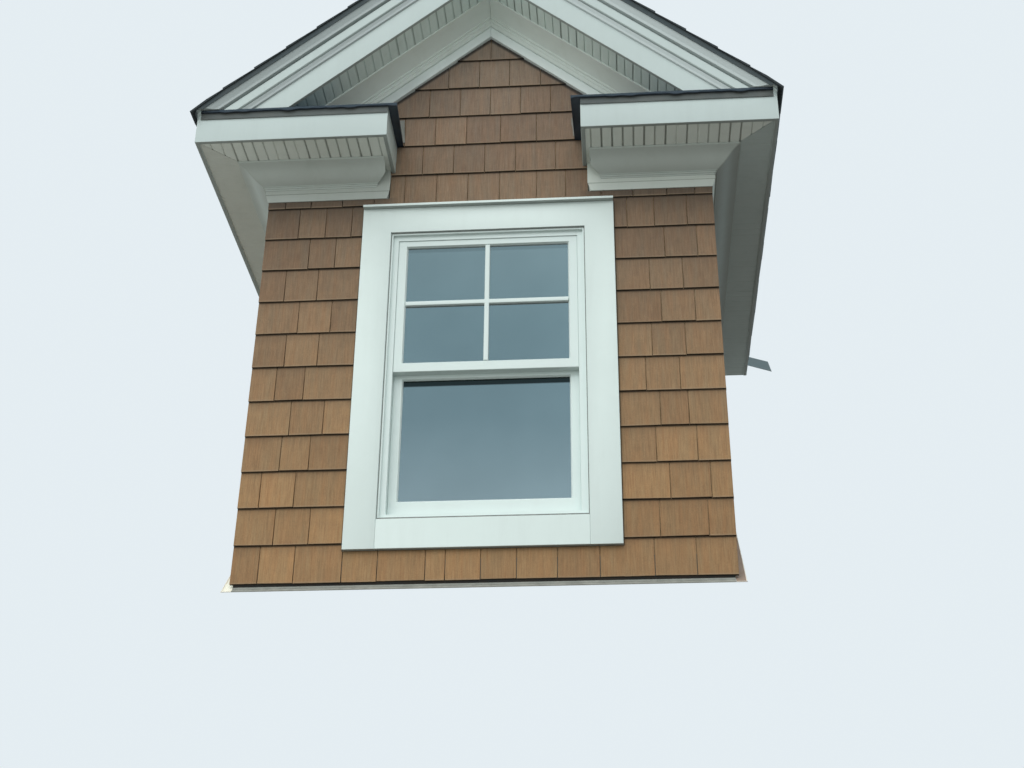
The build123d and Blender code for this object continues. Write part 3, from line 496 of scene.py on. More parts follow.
# %% [markdown]
# ## Roof, membrane and metal
#
# The dormer's own roof carries dark mineral shingles. Mineral grit is a fine speckle with a
# strong bump, and the cut edges are darker: the black asphalt core that a cut shows, and painted
# shade on those edges. A face that is steeper than the roof is an edge. The covering of the returns
# is black sheet with soft folds, and the flashings are dull weathered metal.

# %% Roof shingles
slate, tree, shader, at = finish("roof_shingle", roughness=0.9)
grit = place(tree, weather_group, {"Vector": at, "Scale": 5.0, "Low": 0.4, "High": 0.7})
body = ramp(tree, carried(tree, "tone"),
            [(0.0, (0.040, 0.043, 0.045)), (0.5, (0.065, 0.068, 0.070)), (1.0, (0.105, 0.106, 0.103))])
cut_face = axes(tree, add(tree, "ShaderNodeNewGeometry").outputs["Normal"])["Z"]
# Steep faces are edges: darker for the black asphalt core and for painted shade.
for mask, colour in ((span(tree, grit["Speckle"], 0.4, 0.65, 0.0, 0.55), (0.17, 0.17, 0.165)),
                     (span(tree, grit["Mask"], 0.0, 1.0, 0.0, 0.35), (0.075, 0.085, 0.070)),
                     (span(tree, cut_face, 0.70, 0.60), (0.034, 0.041, 0.044))):
    body = blend(tree, mask, body, colour)
coat_with(tree, shader, body, grit["Speckle"], 0.0012)


# %% Sheet and metal
def covering(name, dark, dusty, roughness, metallic=0.0, scale=7.0, folds=0.0008, right=None):
    """A sheet finish: a dark body, dust held by a cloud mask, and soft folds. Where x is above
    zero the body is multiplied by right, if that is given."""
    made, tree, shader, at = finish(name, metallic=metallic)
    dust = place(tree, weather_group, {"Vector": at, "Scale": scale, "Low": 0.38, "High": 0.72})
    body = blend(tree, dust["Mask"], dark, dusty)
    body = blend(tree, span(tree, dust["Speckle"], 0.55, 0.75, 0.0, 0.3), body, dusty)
    if right:
        body = tinted(tree, body, right, span(tree, axes(tree, at)["X"], -0.1, 0.1))
    uneven = span(tree, dust["Mask"], 0.0, 1.0, roughness - 0.08, min(1.0, roughness + 0.12))
    tree.links.new(uneven, shader.inputs["Roughness"])
    coat_with(tree, shader, body, dust["Mask"], folds)
    return made


membrane = covering("black_membrane", (0.017, 0.027, 0.042), (0.036, 0.049, 0.066), 0.55)
drip_grey = covering("grey_drip_edge", (0.085, 0.090, 0.085), (0.125, 0.130, 0.122), 0.5, 0.0, 9.0, 0.0004)
valley_metal = covering("valley_metal", (0.060, 0.066, 0.066), (0.115, 0.120, 0.112), 0.6, 0.3, 5.0, 0.0006)
old_metal = covering("weathered_metal", (0.235, 0.232, 0.205), (0.35, 0.345, 0.31), 0.55, 0.1, 14.0, 0.0006)
worn_metal = covering("worn_flashing", (0.20, 0.19, 0.165), (0.28, 0.265, 0.23), 0.55, 0.1, 12.0, 0.0004)
drip_black = covering("black_drip_edge", (0.036, 0.044, 0.047), (0.060, 0.070, 0.072), 0.6, 0.0, 9.0, 0.0004)
# Dark sealant: its darkness is a painted shadow line at the casing joint.
sealant = covering("dirty_sealant", (0.17, 0.185, 0.175), (0.27, 0.285, 0.27), 0.7, 0.0, 30.0, 0.0002)
# Near-black felt: a painted shadow under the first course.
felt_as_shadow = covering("black_felt_for_shadow", (0.010, 0.008, 0.006), (0.030, 0.022, 0.016), 0.9, 0.0, 12.0, 0.0004)
# The right-hand flashing is multiplied darker and redder.
bright_metal = covering("bright_flashing", (0.86, 0.80, 0.66), (0.70, 0.62, 0.50), 0.40, 0.15, 9.0, 0.0004,
                        right=(0.40, 0.31, 0.29))
bright_hem = covering("bright_folded_edge", (0.86, 0.80, 0.70), (0.74, 0.68, 0.60), 0.40, 0.15, 9.0, 0.0003)
print("materials so far:", len(bpy.data.materials))

# %% [markdown]
# ## Timber behind the trim
#
# From below and behind, the framing and the sheathing show. Softwood has early and late wood
# that run along each stick, so one material is made for each direction of the grain. The
# pattern is the same group as the cedar's, turned by a Mapping node.

# %% Framing lumber and sheathing
def timber(name, turn, light=(0.62, 0.44, 0.26), dark=(0.43, 0.27, 0.135), across=60.0):
    """Sawn softwood: rings drawn out along the stick, finer streaks over them, and knots. The
    turn is in degrees."""
    made, tree, shader, at = finish(name, roughness=0.75)
    turn = tuple(math.radians(angle) for angle in turn)
    turned = add(tree, "ShaderNodeMapping", {"Vector": at, "Rotation": turn}).outputs["Vector"]
    rings = place(tree, grain_group, {"Vector": turned, "Across": across, "Along": 1.6})
    fibres = place(tree, grain_group, {"Vector": turned, "Across": 380.0, "Along": 9.0})["Streaks"]
    stops = [(0.0, dark), (0.45, light), (0.6, light), (1.0, dark)]
    colour = ramp(tree, span(tree, rings["Streaks"], 0.32, 0.68), stops)
    colour = blend(tree, span(tree, fibres, 0.3, 0.7, 0.0, 0.35), colour, dark)
    spread = add(tree, "ShaderNodeMapping", {"Vector": turned, "Scale": (9.0, 9.0, 1.5)}).outputs["Vector"]
    spots = add(tree, "ShaderNodeTexVoronoi", {"Vector": spread, "Scale": 1.0, "Randomness": 1.0})
    knot = span(tree, spots.outputs["Distance"], 0.05, 0.11, 0.75, 0.0)
    coat_with(tree, shader, blend(tree, knot, colour, (0.20, 0.115, 0.06)), fibres, 0.0004)
    return made


PLY = ((0.60, 0.43, 0.26), (0.44, 0.29, 0.16), 26.0)
upright_pine = timber("pine_upright", (0, 0, 0))
cross_pine = timber("pine_cross", (0, 90, 0))
deep_pine = timber("pine_deep", (90, 0, 0))
climbing_pine = timber("pine_climbing", (45, 0, 0))
plywood_wall = timber("plywood_wall", (0, 90, 0), *PLY)
plywood_roof = timber("plywood_roof", (90, 0, 0), *PLY)

# %% [markdown]
# ## Glass
#
# From below, the panes mostly return the daylight overhead: an insulating pane with a metal coat
# is a blue-grey mirror in front of a dark room. A second reflecting layer with a high index gives
# that mirror, and the dark body lets only a little light through. A slow noise varies the coat and
# the body: painted reflections of clouds. At the top of the lower pane the deep rails above it cut
# the light off, and a dark band with a sharp lower edge is painted there: painted shade. The upper
# panes are painted a little dimmer under their top rail: painted shade.

# %% Window glass
glass, tree, shader, at = finish("window_glass", roughness=0.03, transmission_weight=0.15, ior=1.5,
                                 coat_roughness=0.02, coat_ior=3.0, specular_ior_level=0.3)
ripple = noise(tree, at, 2.2, 1.0)
# The clouds vary the coat and the body: painted reflections of clouds.
clouds = place(tree, weather_group, {"Vector": at, "Scale": 1.6, "Low": 0.35, "High": 0.7})["Mask"]
height = axes(tree, at)["Z"]
# Painted shade: a dark band at the top of the lower pane, under the meeting rails.
band = times(tree, span(tree, height, 0.931, 0.937), span(tree, height, 0.985, 0.984))
body = blend(tree, clouds, (0.014, 0.027, 0.031), (0.036, 0.056, 0.062))
# The coat is dimmed in the band and under the upper top rail: painted shade in the reflection.
mirror = times(tree, span(tree, clouds, 0.0, 1.0, 0.93, 1.0), span(tree, height, 1.643, 1.650, 1.0, 0.78),
               span(tree, band, 0.0, 1.0, 1.0, 0.01))
tree.links.new(mirror, shader.inputs["Coat Weight"])
coat_with(tree, shader, blend(tree, band, body, (0.002, 0.006, 0.004)), ripple, 0.002)

# %% Finishes for the solids that stay
stay = {upright_pine: ("front_studs", "cheek_studs"),
        cross_pine: ("front_sole_plate", "window_sill_plate", "window_header", "front_tie_plate", "rafters"),
        deep_pine: ("ridge_board", "cheek_top_plates", "return_lookouts"),
        climbing_pine: ("cheek_sole_plates", "valley_plates"),
        plywood_wall: ("front_sheathing", "cheek_sheathing"),
        plywood_roof: ("roof_decks",),
        membrane: ("return_roofs",), drip_black: ("eave_drips", "rake_drips"),
        valley_metal: ("valley_flashings",), drip_grey: ("return_drips",), lit_gable_paint: ("gable_friezes",),
        old_metal: ("apron_flashing",), bright_metal: ("side_flashings",),
        white_paint: ("side_casings", "head_casing", "bottom_casing", "drip_cap"),
        fascia_paint: ("return_ends", "return_fascias", "eave_fascias", "rake_boards", "rake_mouldings"),
        crown_paint: ("return_friezes", "eave_friezes"),
        soffit_paint: ("return_soffits", "eave_soffits", "rake_soffits"),
        window_white: ("window_frame", "upper_sash", "lower_sash"),
        glass: ("window_panes",), slate: ("roof_shingles", "ridge_cap"),
        cedar: ("front_shingles", "cheek_shingles")}
for material, names in stay.items():
    for name in names:
        for material_slot in bpy.data.objects[name].material_slots:
            material_slot.material = material
print("finishes given to", sum(map(len, stay.values())), "solids of", len(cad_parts))

# %% [markdown]
# ## Laying shingles
#
# A course of shingles is a row of wedges, thick at the butt and thin under the next course.
# The wall is cut into cells first: each course between two joints, trimmed by sloping lines
# and by rectangles where the trim stands. A cell whose neighbour is the same shingle meets it
# with no gap, so a shingle notched round a corner still reads as one.

# %% Cut a face into shingle cells
NARROWEST, LOWEST, NEAR = 0.004, 0.006, 1e-6


def cells(courses, joints, lows=(), highs=(), holes=()):
    """Cells of a shingled face. Each limit is a line (m, c): height = m * along + c. A cell is
    (a, b, low at a, low at b, high at a, high at b, course foot, shingle, joint at a, joint at b)."""
    out, shingle = [], 0
    for (foot, head), marks in zip(courses, joints):
        breaks = [marks] + [np.array(hole[:2]) for hole in holes]
        breaks += [(np.array([foot, head]) - c) / m for m, c in (*lows, *highs) if m]
        edges = np.unique(np.round(np.concatenate([*breaks, [0.0]]), 6))
        edges = edges[(edges >= marks[0] - NEAR) & (edges <= marks[-1] + NEAR)]
        for a, b in zip(edges[:-1], edges[1:]):
            if b - a < NARROWEST:
                continue
            ends = np.array([a, b])
            low, high = np.full(2, foot), np.full(2, head)
            for m, c in lows:
                low = np.maximum(low, m * ends + c)
            for m, c in highs:
                high = np.minimum(high, m * ends + c)
            owner = shingle + int(np.searchsorted(marks, (a + b) / 2))
            parts = [(low, high)]
            for left, right, under, over in holes:
                if left - NEAR <= a and b <= right + NEAR:
                    parts = [q for p in parts
                             for q in ((p[0], np.minimum(p[1], under)), (np.maximum(p[0], over), p[1]))]
            at_ends = [np.abs(marks - end).min() < 1e-5 for end in ends]
            out += [(a, b, *p, *q, foot, owner, *at_ends) for p, q in parts
                    if (q - p).max() > LOWEST and (q - p).min() > -NEAR]
        shingle += len(marks) + 1
    return np.array(out, float)


def stagger(ends, count, width, rng, spread=0.12, margin=0.035):
    """Joints for each course: even steps of the width, shifted by about half a shingle from the
    course below and then nudged, so that no two joints line up."""
    rows, phase = [], rng.uniform(0, 1)
    for _ in range(count):
        phase = (phase + 0.5 + rng.uniform(-0.14, 0.14)) % 1.0
        steps = np.arange(ends[0] - width * phase, ends[1] + width, width)
        steps = steps + rng.uniform(-spread, spread, len(steps)) * width
        inside = steps[(steps > ends[0] + margin) & (steps < ends[1] - margin)]
        rows.append(np.concatenate([[ends[0]], inside, [ends[1]]]))
    return rows


# %% Wedges from cells
RINGS, SECTION = 4, 6       # rings of a wedge, points of a ring
POINTS = RINGS * SECTION


def wedges(table, to_world, thick, thin, exposure, rng, gap=0.0030, ease=0.0014):
    """One closed wedge for each cell, with its values. Across it run four rings, the outer two
    pulled in by the ease; each ring is the section (height, out): back foot, butt, butt eased,
    middle, head, back head. Out falls in a straight line from thick at the course foot to thin
    at its head."""
    a, b, low_a, low_b, high_a, high_b, foot, owner, at_a, at_b = table.T
    owner = owner.astype(int)
    own = lambda low, high: rng.uniform(low, high, owner.max() + 1)[owner]
    drop, tip, fat = own(-0.0016, 0.0016), own(-0.010, 0.010), own(0.90, 1.0)
    a, b = a + at_a * gap / 2, b - at_b * gap / 2
    along = np.stack([a, a + ease, b - ease, b], 1)
    share = (along - a[:, None]) / (b - a)[:, None]
    low = low_a[:, None] + (low_b - low_a)[:, None] * share
    high = high_a[:, None] + (high_b - high_a)[:, None] * share
    free = np.abs(low - foot[:, None]) < NEAR
    low = low + free * (drop[:, None] + tip[:, None] * (share - 0.5) * (b - a)[:, None])
    pulled = np.stack([at_a * ease, 0 * a, 0 * a, at_b * ease], 1)[:, :, None]
    height = low[:, :, None] + (high - low)[:, :, None] * np.array([0.0, 0.0, 0.0, 0.5, 1.0, 1.0])
    height = height + np.array([0.0, 0.0, ease, 0.0, 0.0, 0.0])
    up = np.clip((height - foot[:, None, None]) / exposure, 0, 1)
    butt = thick * fat[:, None, None]
    out = butt + (thin - butt) * up - pulled - np.array([0.0, ease, 0.0, 0.0, 0.0, 0.0])
    out[:, :, [0, 5]] = 0.0003
    points = to_world(np.broadcast_to(along[:, :, None], out.shape), height, out).reshape(-1, 3)
    faces = shell(points[:POINTS].reshape(RINGS, SECTION, 3))[1]
    faces = [[i + POINTS * n for i in face] for n in range(len(a)) for face in faces]
    rise = np.where(np.arange(SECTION) == 0, -1.0, up)
    values = {"tone": np.repeat(own(0.0, 1.0), POINTS), "shift": np.repeat(own(0.0, 40.0), POINTS),
              "rise": rise.reshape(-1)}
    return (points, faces), values


def shingled(name, parts, material, slot, node):
    """A piece from several sets of wedges with their values, joined end to end."""
    values = {key: np.concatenate([values[key] for _, values in parts]) for key in parts[0][1]}
    return piece(name, [solid for solid, _ in parts], material, slot, node, values=values)


# %% Joints of the window wall
# Where the joints of each visible course stand, in centimetres from the middle, from the foot up.
JOINTS = [
    (-96.5, -81.1, -60.3, -45.0, -24.3, -15.7, -0.5, 14.9, 32.3, 50.4, 73.5, 91.2),
    (-91.2, -75.7, 0, 76.4, 97.1), (-99.0, -83.6, 0, 81.5, 99.2), (-91.3, -78.2, 0, 76.2, 94.2),
    (-88.4, -73.1, 0, 78.7, 91.3), (-96.5, -83.3, 0, 72.9, 88.2), (-93.4, -78.0, 0, 76.3, 91.6),
    (-88.6, -73.1, 0, 81.3, 96.8), (-96.3, -80.7, 0, 76.5, 92.0), (-86.1, -73.3, 0, 84.2, 99.5),
    (-92.2, -79.0, -66.3, -53.0, -38.2, -24.0, -9.1, 6.0, 21.3, 36.2, 51.4, 66.9, 79.9, 95.5),
    (-99.8, -87.1, -71.6, -55.9, -41.2, -25.5, -10.1, 5.4, 23.5, 37.7, 54.8, 70.2, 86.4, 99.9),
    (-32.9, -17.5, -2.1, 13.2, 32.9), (-42.6, -27.1, -11.5, 5.5, 23.5, 43.0),
    (-30.6, -15.0, 0.2, 15.4, 30.6), (-21.3, -5.6, 9.8, 25.6), (0.1,)]

# %% Shingles of the window wall
rng = np.random.default_rng(11)
feet = FOOT + COURSE * np.arange(len(JOINTS))
levels = list(zip(feet, feet + COURSE))
gable_line = ROOF - GABLE_FOOT * SLOPE
corner = WALL + BUTT
holes = [(-CASING_OUT, CASING_OUT, CASING_FOOT, HEAD + CASING + CAP - 0.001),
         (END, corner, FRIEZE, SOFFIT), (-corner, -END, FRIEZE, SOFFIT),
         (RETURN_IN, corner, FASCIA_LOW, FASCIA_TOP), (-corner, -RETURN_IN, FASCIA_LOW, FASCIA_TOP),
         (RETURN_IN - RETURN_LIP + NARROW_RIGHT - 0.001, corner, FASCIA_TOP, RETURN_TOP),
         (-corner, RETURN_LIP - NARROW_LEFT + 0.0005 - RETURN_IN, FASCIA_TOP, RETURN_TOP)]
edge = corner - 0.001
marks = [np.array([-edge, *(mark / 100 for mark in row), edge]) for row in JOINTS]
table = cells(levels, marks, highs=[(-RISE, gable_line), (RISE, gable_line)], holes=holes)
on_wall = lambda s, z, out: np.stack([s, FRONT - out, z], -1)
wall = wedges(table, on_wall, BUTT, LAPPED, COURSE, rng)
shingled("front_wall_shingles", [wall], cedar, "cedar_shingle", "front_shingles")
print("front shingles:", len(table), "cells in", len(JOINTS), "courses")

# %% Shingles of the cheeks
CHEEK_COURSES = 12
sides = []
for side in (1, -1):
    marks = stagger((FRONT + 0.0004, FRIEZE - LIFT + 0.02), CHEEK_COURSES, 0.155, rng)
    table = cells(levels[:CHEEK_COURSES], marks, lows=[(1.0, LIFT)], highs=[(0.0, FRIEZE)])
    on_cheek = lambda y, z, out, side=side: np.stack([side * (WALL + out), y, z], -1)
    sides.append(wedges(table, on_cheek, BUTT, LAPPED, COURSE, rng))
shingled("cheek_wall_shingles", sides, cedar, "cedar_shingle", "cheek_shingles")

# %% [markdown]
# ## Roof shingles and ridge caps
#
# The roof is laid the same way, with the distance up the slope in place of height and the
# distance back in place of width. The valley line trims each course, as a roofer's knife does.
# Ridge caps are shingles folded over the ridge, each lapped over the one behind it.

# %% Roof shingles
EXPOSED = 0.190
eave_x = EAVE + 0.024
eave_z = DECK - RISE * eave_x
length = eave_x * SLOPE
rows = math.ceil(length / EXPOSED)
levels = [(k * EXPOSED, min((k + 1) * EXPOSED, length - 0.001)) for k in range(rows)]
valley = (SLOPE / RISE, (0.072 - eave_z) * SLOPE / RISE)
near = FRONT - RAKE_OUT - 0.011


def on_slope(side):
    """Points over one slope: along is y, height is the distance up from the eave, out is square
    to it. Past the fascia the shingles droop by 13 mm times the square of the share past it."""
    def to_world(y, up, out):
        x = eave_x - up / SLOPE + out * RISE / SLOPE
        past = np.clip((x - EAVE + 0.018) / 0.045, 0, 1)
        return np.stack([side * x, y, eave_z + up * RISE / SLOPE + out / SLOPE - 0.013 * past ** 2], -1)
    return to_world


sides = []
for side in (1, -1):
    marks = stagger((near, 3.40), rows, 0.21, rng, 0.3)
    table = cells(levels, marks, lows=[valley])
    sides.append(wedges(table, on_slope(side), 0.012, 0.0045, EXPOSED, rng, 0.004, 0.001))
shingled("roof_covering", sides, slate, "roof_shingle", "roof_shingles")


# %% Ridge caps
def ridge_caps(step=0.143, reach=0.30, wing=0.145, thick=0.005, bend=0.014, lap=0.0095):
    """Caps along the ridge. Across a cap, u runs from -1 to 1 and the height falls by RISE times
    |x|, rounded near the middle by sqrt(x^2 + bend^2); along it the butt rides on the next cap."""
    x = np.linspace(-1, 1, 13) * wing / SLOPE
    bent = ROOF - RISE * (np.sqrt(x ** 2 + bend ** 2) - bend)
    last = ROOF - 0.115 - reach
    v = np.array([0.0, 0.5, 1.0])[:, None]
    base = bent + lap * (1 - v) + 0.0005
    solids = []
    for y in near + step * np.arange(math.ceil((last - near) / step)):
        top = np.stack([np.broadcast_to(x, base.shape), np.broadcast_to(y + v * reach, base.shape), base], -1)
        solids.append(shell(np.concatenate([top, top[:, ::-1] - np.array([0, 0, thick])], 1)))
    return solids


caps = ridge_caps()
tones = [tone for points, _ in caps for tone in [rng.uniform()] * len(points)]
piece("ridge_caps", caps, slate, "roof_shingle", "ridge_cap", smooth=50, values={"tone": tones})
print("roof courses:", rows, "ridge caps:", len(caps))

# %% [markdown]
# ## Cornice: crown, bed moulding and frieze
#
# The crown is a cyma: hollow at its outer half and full at its inner half, so it reads as an S.
# Its section is worked out once, carried along the return, mitred at the corner and run back
# along the eave until it dies into the slope. At the return's inner end the crown is square at
# its lip and cut on a slant below, so the points of that ring move in towards the wall. The
# frieze board under it has a second, thinner face at its foot, with a fine line between.

# %% Cornice profile and its path
def cyma(tip, foot, bulge, steps=14):
    """An S between two points of (out, height): the straight line plus bulge * sin(2 pi t)
    square to it."""
    tip, foot = np.array(tip), np.array(foot)
    t = np.linspace(0, 1, steps)[:, None]
    run = foot - tip
    square = np.array([run[1], -run[0]]) / np.hypot(*run)
    return tip + run * t + square * bulge * np.sin(2 * np.pi * t)


def cornice_rings(section, inner_x, slant=0.0, square=9.0):
    """Rings of a section (out, height): at the inner end of the return, at the corner mitre where
    x and y both move out, and where the eave dies into the slope at y = height. The inner end
    moves on by slant for each metre that a point lies inside the distance called square."""
    out, z = np.asarray(section).T
    first = np.stack([inner_x + np.clip(square - out, 0, None) * slant, FRONT - out, z], 1)
    mitre = np.stack([WALL + out, FRONT - out, z], 1)
    last = np.stack([WALL + out, z - 0.003, z], 1)
    return [first, mitre, last]


# %% Cornice crown and frieze
crown = mm([(30, 0), (152, 0), (152, -4), (150, -6), *cyma((149.0, -8.0), (43.0, -80.0), 3.5),
            (42, -83), (38, -83), (38, -92), (34, -93), (33, -99), (30, -100)], up=SOFFIT)
crown_rings = cornice_rings(crown, END + 0.014, 0.88, 0.090)
trim("cornice_crown", [shell(crown_rings)], crown_paint, "return_friezes", "eave_friezes", smooth=28)
board = mm([(0, 158), (30, 158), (30, 37), (27.5, 35.5), (27.5, 33), (17, 1), (15, 0), (0, 0)], up=FRIEZE)
rings = cornice_rings(board, END)
out, z = board.T
rings[0][:, 0] += np.clip(0.030 - out, 0, 0.014) * (z < FRIEZE + 0.036) * (out > 0.001)
trim("cornice_frieze_board", [shell(rings)], board_paint, "return_friezes", "eave_friezes", smooth=28)

# %% [markdown]
# ## Fascias and the boards of the returns
#
# Flat boards get eased edges, because a sharp edge never catches light on the real thing. The
# fascia is one outline on the same path as the crown; the end board of each return is a plain
# board between the fascia and the wall.

# %% Fascias and return ends
def oblong(a0, a1, b0, b1):
    """The four corners of an outline."""
    return [(a0, b0), (a1, b0), (a1, b1), (a0, b1)]


def plank(x0, x1, y0, y1, z0, z1, ease=0.002):
    """A board with eased edges: its rounded outline in x and y, held at the ease and stepped in
    at both ends."""
    rings = []
    for z, pull in ((z0, ease), (z0 + ease, 0.0), (z1 - ease, 0.0), (z1, ease)):
        outline = eased(oblong(x0 + pull, x1 - pull, y0 + pull, y1 - pull), ease)
        rings.append(np.column_stack([outline, np.full(len(outline), z)]))
    return shell(rings)


SOFFIT_END = FRONT - OVERHANG + BOARD     # back of the return's fascia
fascia = eased(oblong(OVERHANG - BOARD, OVERHANG, FASCIA_LOW, FASCIA_TOP), 0.0025)
trim("fascia_boards", [shell(cornice_rings(fascia, RETURN_IN))], fascia_paint,
     "return_fascias", "eave_fascias")
end_board = plank(RETURN_IN, RETURN_IN + BOARD, SOFFIT_END, FRONT, FASCIA_LOW + 0.001, FASCIA_TOP)
trim("return_end_boards", [end_board], fascia_paint, "return_ends")

# %% Corner blocks under the rakes
EAR_IN = 1.3745             # inner face of the block that closes the rake over the corner


def climbing(section, x0, x1):
    """A section (out, height above the sheathing's under side) carried from x0 to x1. At x that
    under side is FASCIA_TOP + (EAVE - x) * RISE high."""
    out, up = section.T
    return shell([np.stack([np.full(len(out), x), FRONT - out, up + FASCIA_TOP + (EAVE - x) * RISE], 1)
                  for x in (x0, x1)])


ear = mm([(302, -34), (322.5, -34), (322.5, -22), (333, -14), (334, -4), (351, -4), (351, 0), (302, 0)])
drip_end = mm(oblong(351.2, 352.8, -3, 16))
trim("rake_corner_blocks", [climbing(ear, EAR_IN + 0.0003, EAVE)], fascia_paint)
piece("rake_drip_ends", both(climbing(drip_end, 1.362, EAVE + 0.0005)), drip_black, "black_membrane")
print("pieces so far:", len(pieces_made))

# %% [markdown]
# ## Grooved soffits
#
# The soffits are panels with a groove every two inches, run from the wall to the fascia. The
# groove is cut into the outline, and each point of the outline ends on its own mitre, so the
# panels of the return and the eave meet on a diagonal at the corner.

# %% Grooved panels
GROOVE_WIDTH, GROOVE_DEPTH = 0.0100, 0.0062


def grooved(start, stop, rng, depth=GROOVE_DEPTH, pitch=0.0508, uneven=0.45):
    """A row of V grooves: position along, and depth, which is (1 - |d| / (width / 2)) * depth for
    the distance d to the nearest groove's middle and never less than nothing. Each groove is a
    little deeper or shallower than the rest. The third row is the painted groove shade: 1 - |d| / width."""
    width = GROOVE_WIDTH
    middles = np.arange(start + pitch / 2, stop, pitch)
    breaks = [middles + k * width for k in (-1.0, -0.5, 0.0, 0.5, 1.0)]
    along = np.sort(np.concatenate([[start, stop], *breaks]))
    along = along[(along >= start) & (along <= stop)]
    distance = np.abs(along[:, None] - middles[None])
    own = (1 + uneven * rng.uniform(-1, 1, len(middles)))[distance.argmin(1)]
    near_by = lambda reach: np.clip(1 - distance.min(1) / reach, 0, 1) * own * depth
    return along, near_by(width / 2), near_by(width) / GROOVE_DEPTH


def panel(to_world, along, cut, near_end, far_end, thick=0.012):
    """A closed panel: the grooved face and a flat back, joined into one outline and carried from
    near_end to far_end, each a number or one for each point along."""
    s = np.concatenate([along, along[::-1]])
    up = np.concatenate([cut, np.full(len(along), thick)])
    ends = [np.broadcast_to(end, len(along)) for end in (near_end, far_end)]
    return shell([to_world(s, np.concatenate([end, end[::-1]]), up) for end in ends])


def shade_rows_of(*rows):
    """The painted groove shade of panels and their mirror images: a row for the grooved face and
    none for the back, at both ends of the panel."""
    return {"groove": np.concatenate([np.tile(np.concatenate([row, 0 * row]), 4) for row in rows])}


# %% Cornice soffits
along, cut, dirt = grooved(RETURN_IN + BOARD + 0.001, EAVE - BOARD - 0.001, rng)
near_wall = np.minimum(FRONT - 0.02, FRONT - (along - WALL) - 0.0012)
return_panel = panel(lambda s, e, up: np.stack([s, e, SOFFIT + up], 1), along, cut, near_wall, SOFFIT_END)
along, cut, eave_panel_shade = grooved(SOFFIT_END + 0.001, SOFFIT - 0.004, rng, 0.0012)
near_wall = np.maximum(WALL + 0.02, WALL + (FRONT - along) + 0.0012)
eave_panel = panel(lambda s, e, up: np.stack([e, s, SOFFIT + up], 1), along, cut, near_wall, EAVE - BOARD)
piece("cornice_soffits", both(return_panel, eave_panel), soffit_paint, "soffit_panel",
      "return_soffits", "eave_soffits", values=shade_rows_of(dirt, eave_panel_shade))

# %% [markdown]
# ## Rakes
#
# Up each side of the gable run a wide board, a band and cove planted on it, and a shingle crown
# under the roofing. A rake section is (out, depth), with the depth measured square to the slope
# from the top of the shingles. The rings end plumb at the ridge and level on the return. The
# crown and the cove are cut with flat faces and small steps, which draw the thin dark lines.

# %% Rake path and mouldings
JOINT = 0.0006              # half the joint of the two sides at the ridge


def up_rake(section):
    """A section (out, depth) carried up the right-hand rake. A point at x lies at height
    ROOF - depth * SLOPE - RISE * x; the lower ring is where that height meets the return or x
    meets the eave, the upper ring is at the ridge joint."""
    out, depth = np.asarray(section).T
    level = ROOF - depth * SLOPE
    ends = np.minimum(EAVE, (level - RETURN_TOP) / RISE), np.full(len(out), JOINT)
    return shell([np.stack([x, FRONT - out, level - RISE * x], 1) for x in ends])


deck_depth = 0.0241
rake_board = eased(oblong(RAKE_FACE - BOARD, RAKE_FACE, deck_depth, 0.286), 0.002)
shingle_crown = mm([(2, 24.1), (34, 24.1), (34, 32), (33.4, 33.5), (20.5, 65.5), (21.5, 66.8),
                    (21.5, 79.5), (20.5, 80.8), (4, 83.5), (2, 83.5)], RAKE_FACE)
band = mm([(0, 92.5), (11.5, 92.5), (12.5, 93.5), (12.5, 134.5), (11.5, 135.8), (2, 140), (0, 140)], RAKE_FACE)
cove = mm([(0, 145.5), (8, 146), (8.8, 147.2), (3.2, 163.5), (7.8, 165.2), (8.4, 166.4),
           (8.4, 175.5), (7.4, 177), (1, 180.2), (0, 180.2)], RAKE_FACE)
trim("rake_boards_planed", [up_rake(rake_board)], fascia_paint, "rake_boards")
trim("rake_band", [up_rake(band)], fascia_paint, "rake_mouldings")
trim("rake_crown_and_cove", [up_rake(shingle_crown), up_rake(cove)], shaded_rake_paint, "rake_mouldings", smooth=16)

# %% Gable crown and frieze
t = np.linspace(0, 1, 12)
hollow = np.stack([162 - 109.5 * t, 7 + 19 * t ** 2.4], 1)
gable_crown = mm([(0, 0), (165, 0), (165, 5), *hollow, (51.5, 33), (50.5, 34), (43, 36), (42.5, 48.5), (39, 50),
                  (38, 65.5), (37, 66.5), (25.5, 69), (0, 69)], up=RAKE_SOFFIT)
gable_frieze = eased(oblong(0.0, 0.030, RAKE_SOFFIT + 0.070, GABLE_FOOT), 0.0016)
trim("gable_crown", [up_rake(gable_crown)], lit_gable_paint, "gable_friezes", smooth=28)
trim("gable_frieze_board", [up_rake(gable_frieze)], frieze_paint, "gable_friezes", smooth=28)


# %% Grooved rake soffit
def rake_place(s, y, up):
    """A point s up the slope from the return: its level falls by RISE for each metre of x, and
    the groove's depth up is square to the slope."""
    x = np.clip(s / SLOPE - up * RISE / SLOPE, JOINT, None)
    return np.stack([x, y, ROOF - (RAKE_SOFFIT - up) * SLOPE - RISE * x], 1)


top_run = (ROOF - RAKE_SOFFIT * SLOPE - RETURN_TOP) / RISE * SLOPE
along, cut, dirt = grooved(0.0, top_run - 0.001, rng, 0.006)
rake_soffit = panel(rake_place, along, cut, FRONT - 0.012, FRONT - RAKE_FACE + BOARD)
piece("rake_soffit_panels", both(rake_soffit), soffit_paint, "soffit_panel", "rake_soffits",
      values=shade_rows_of(dirt))

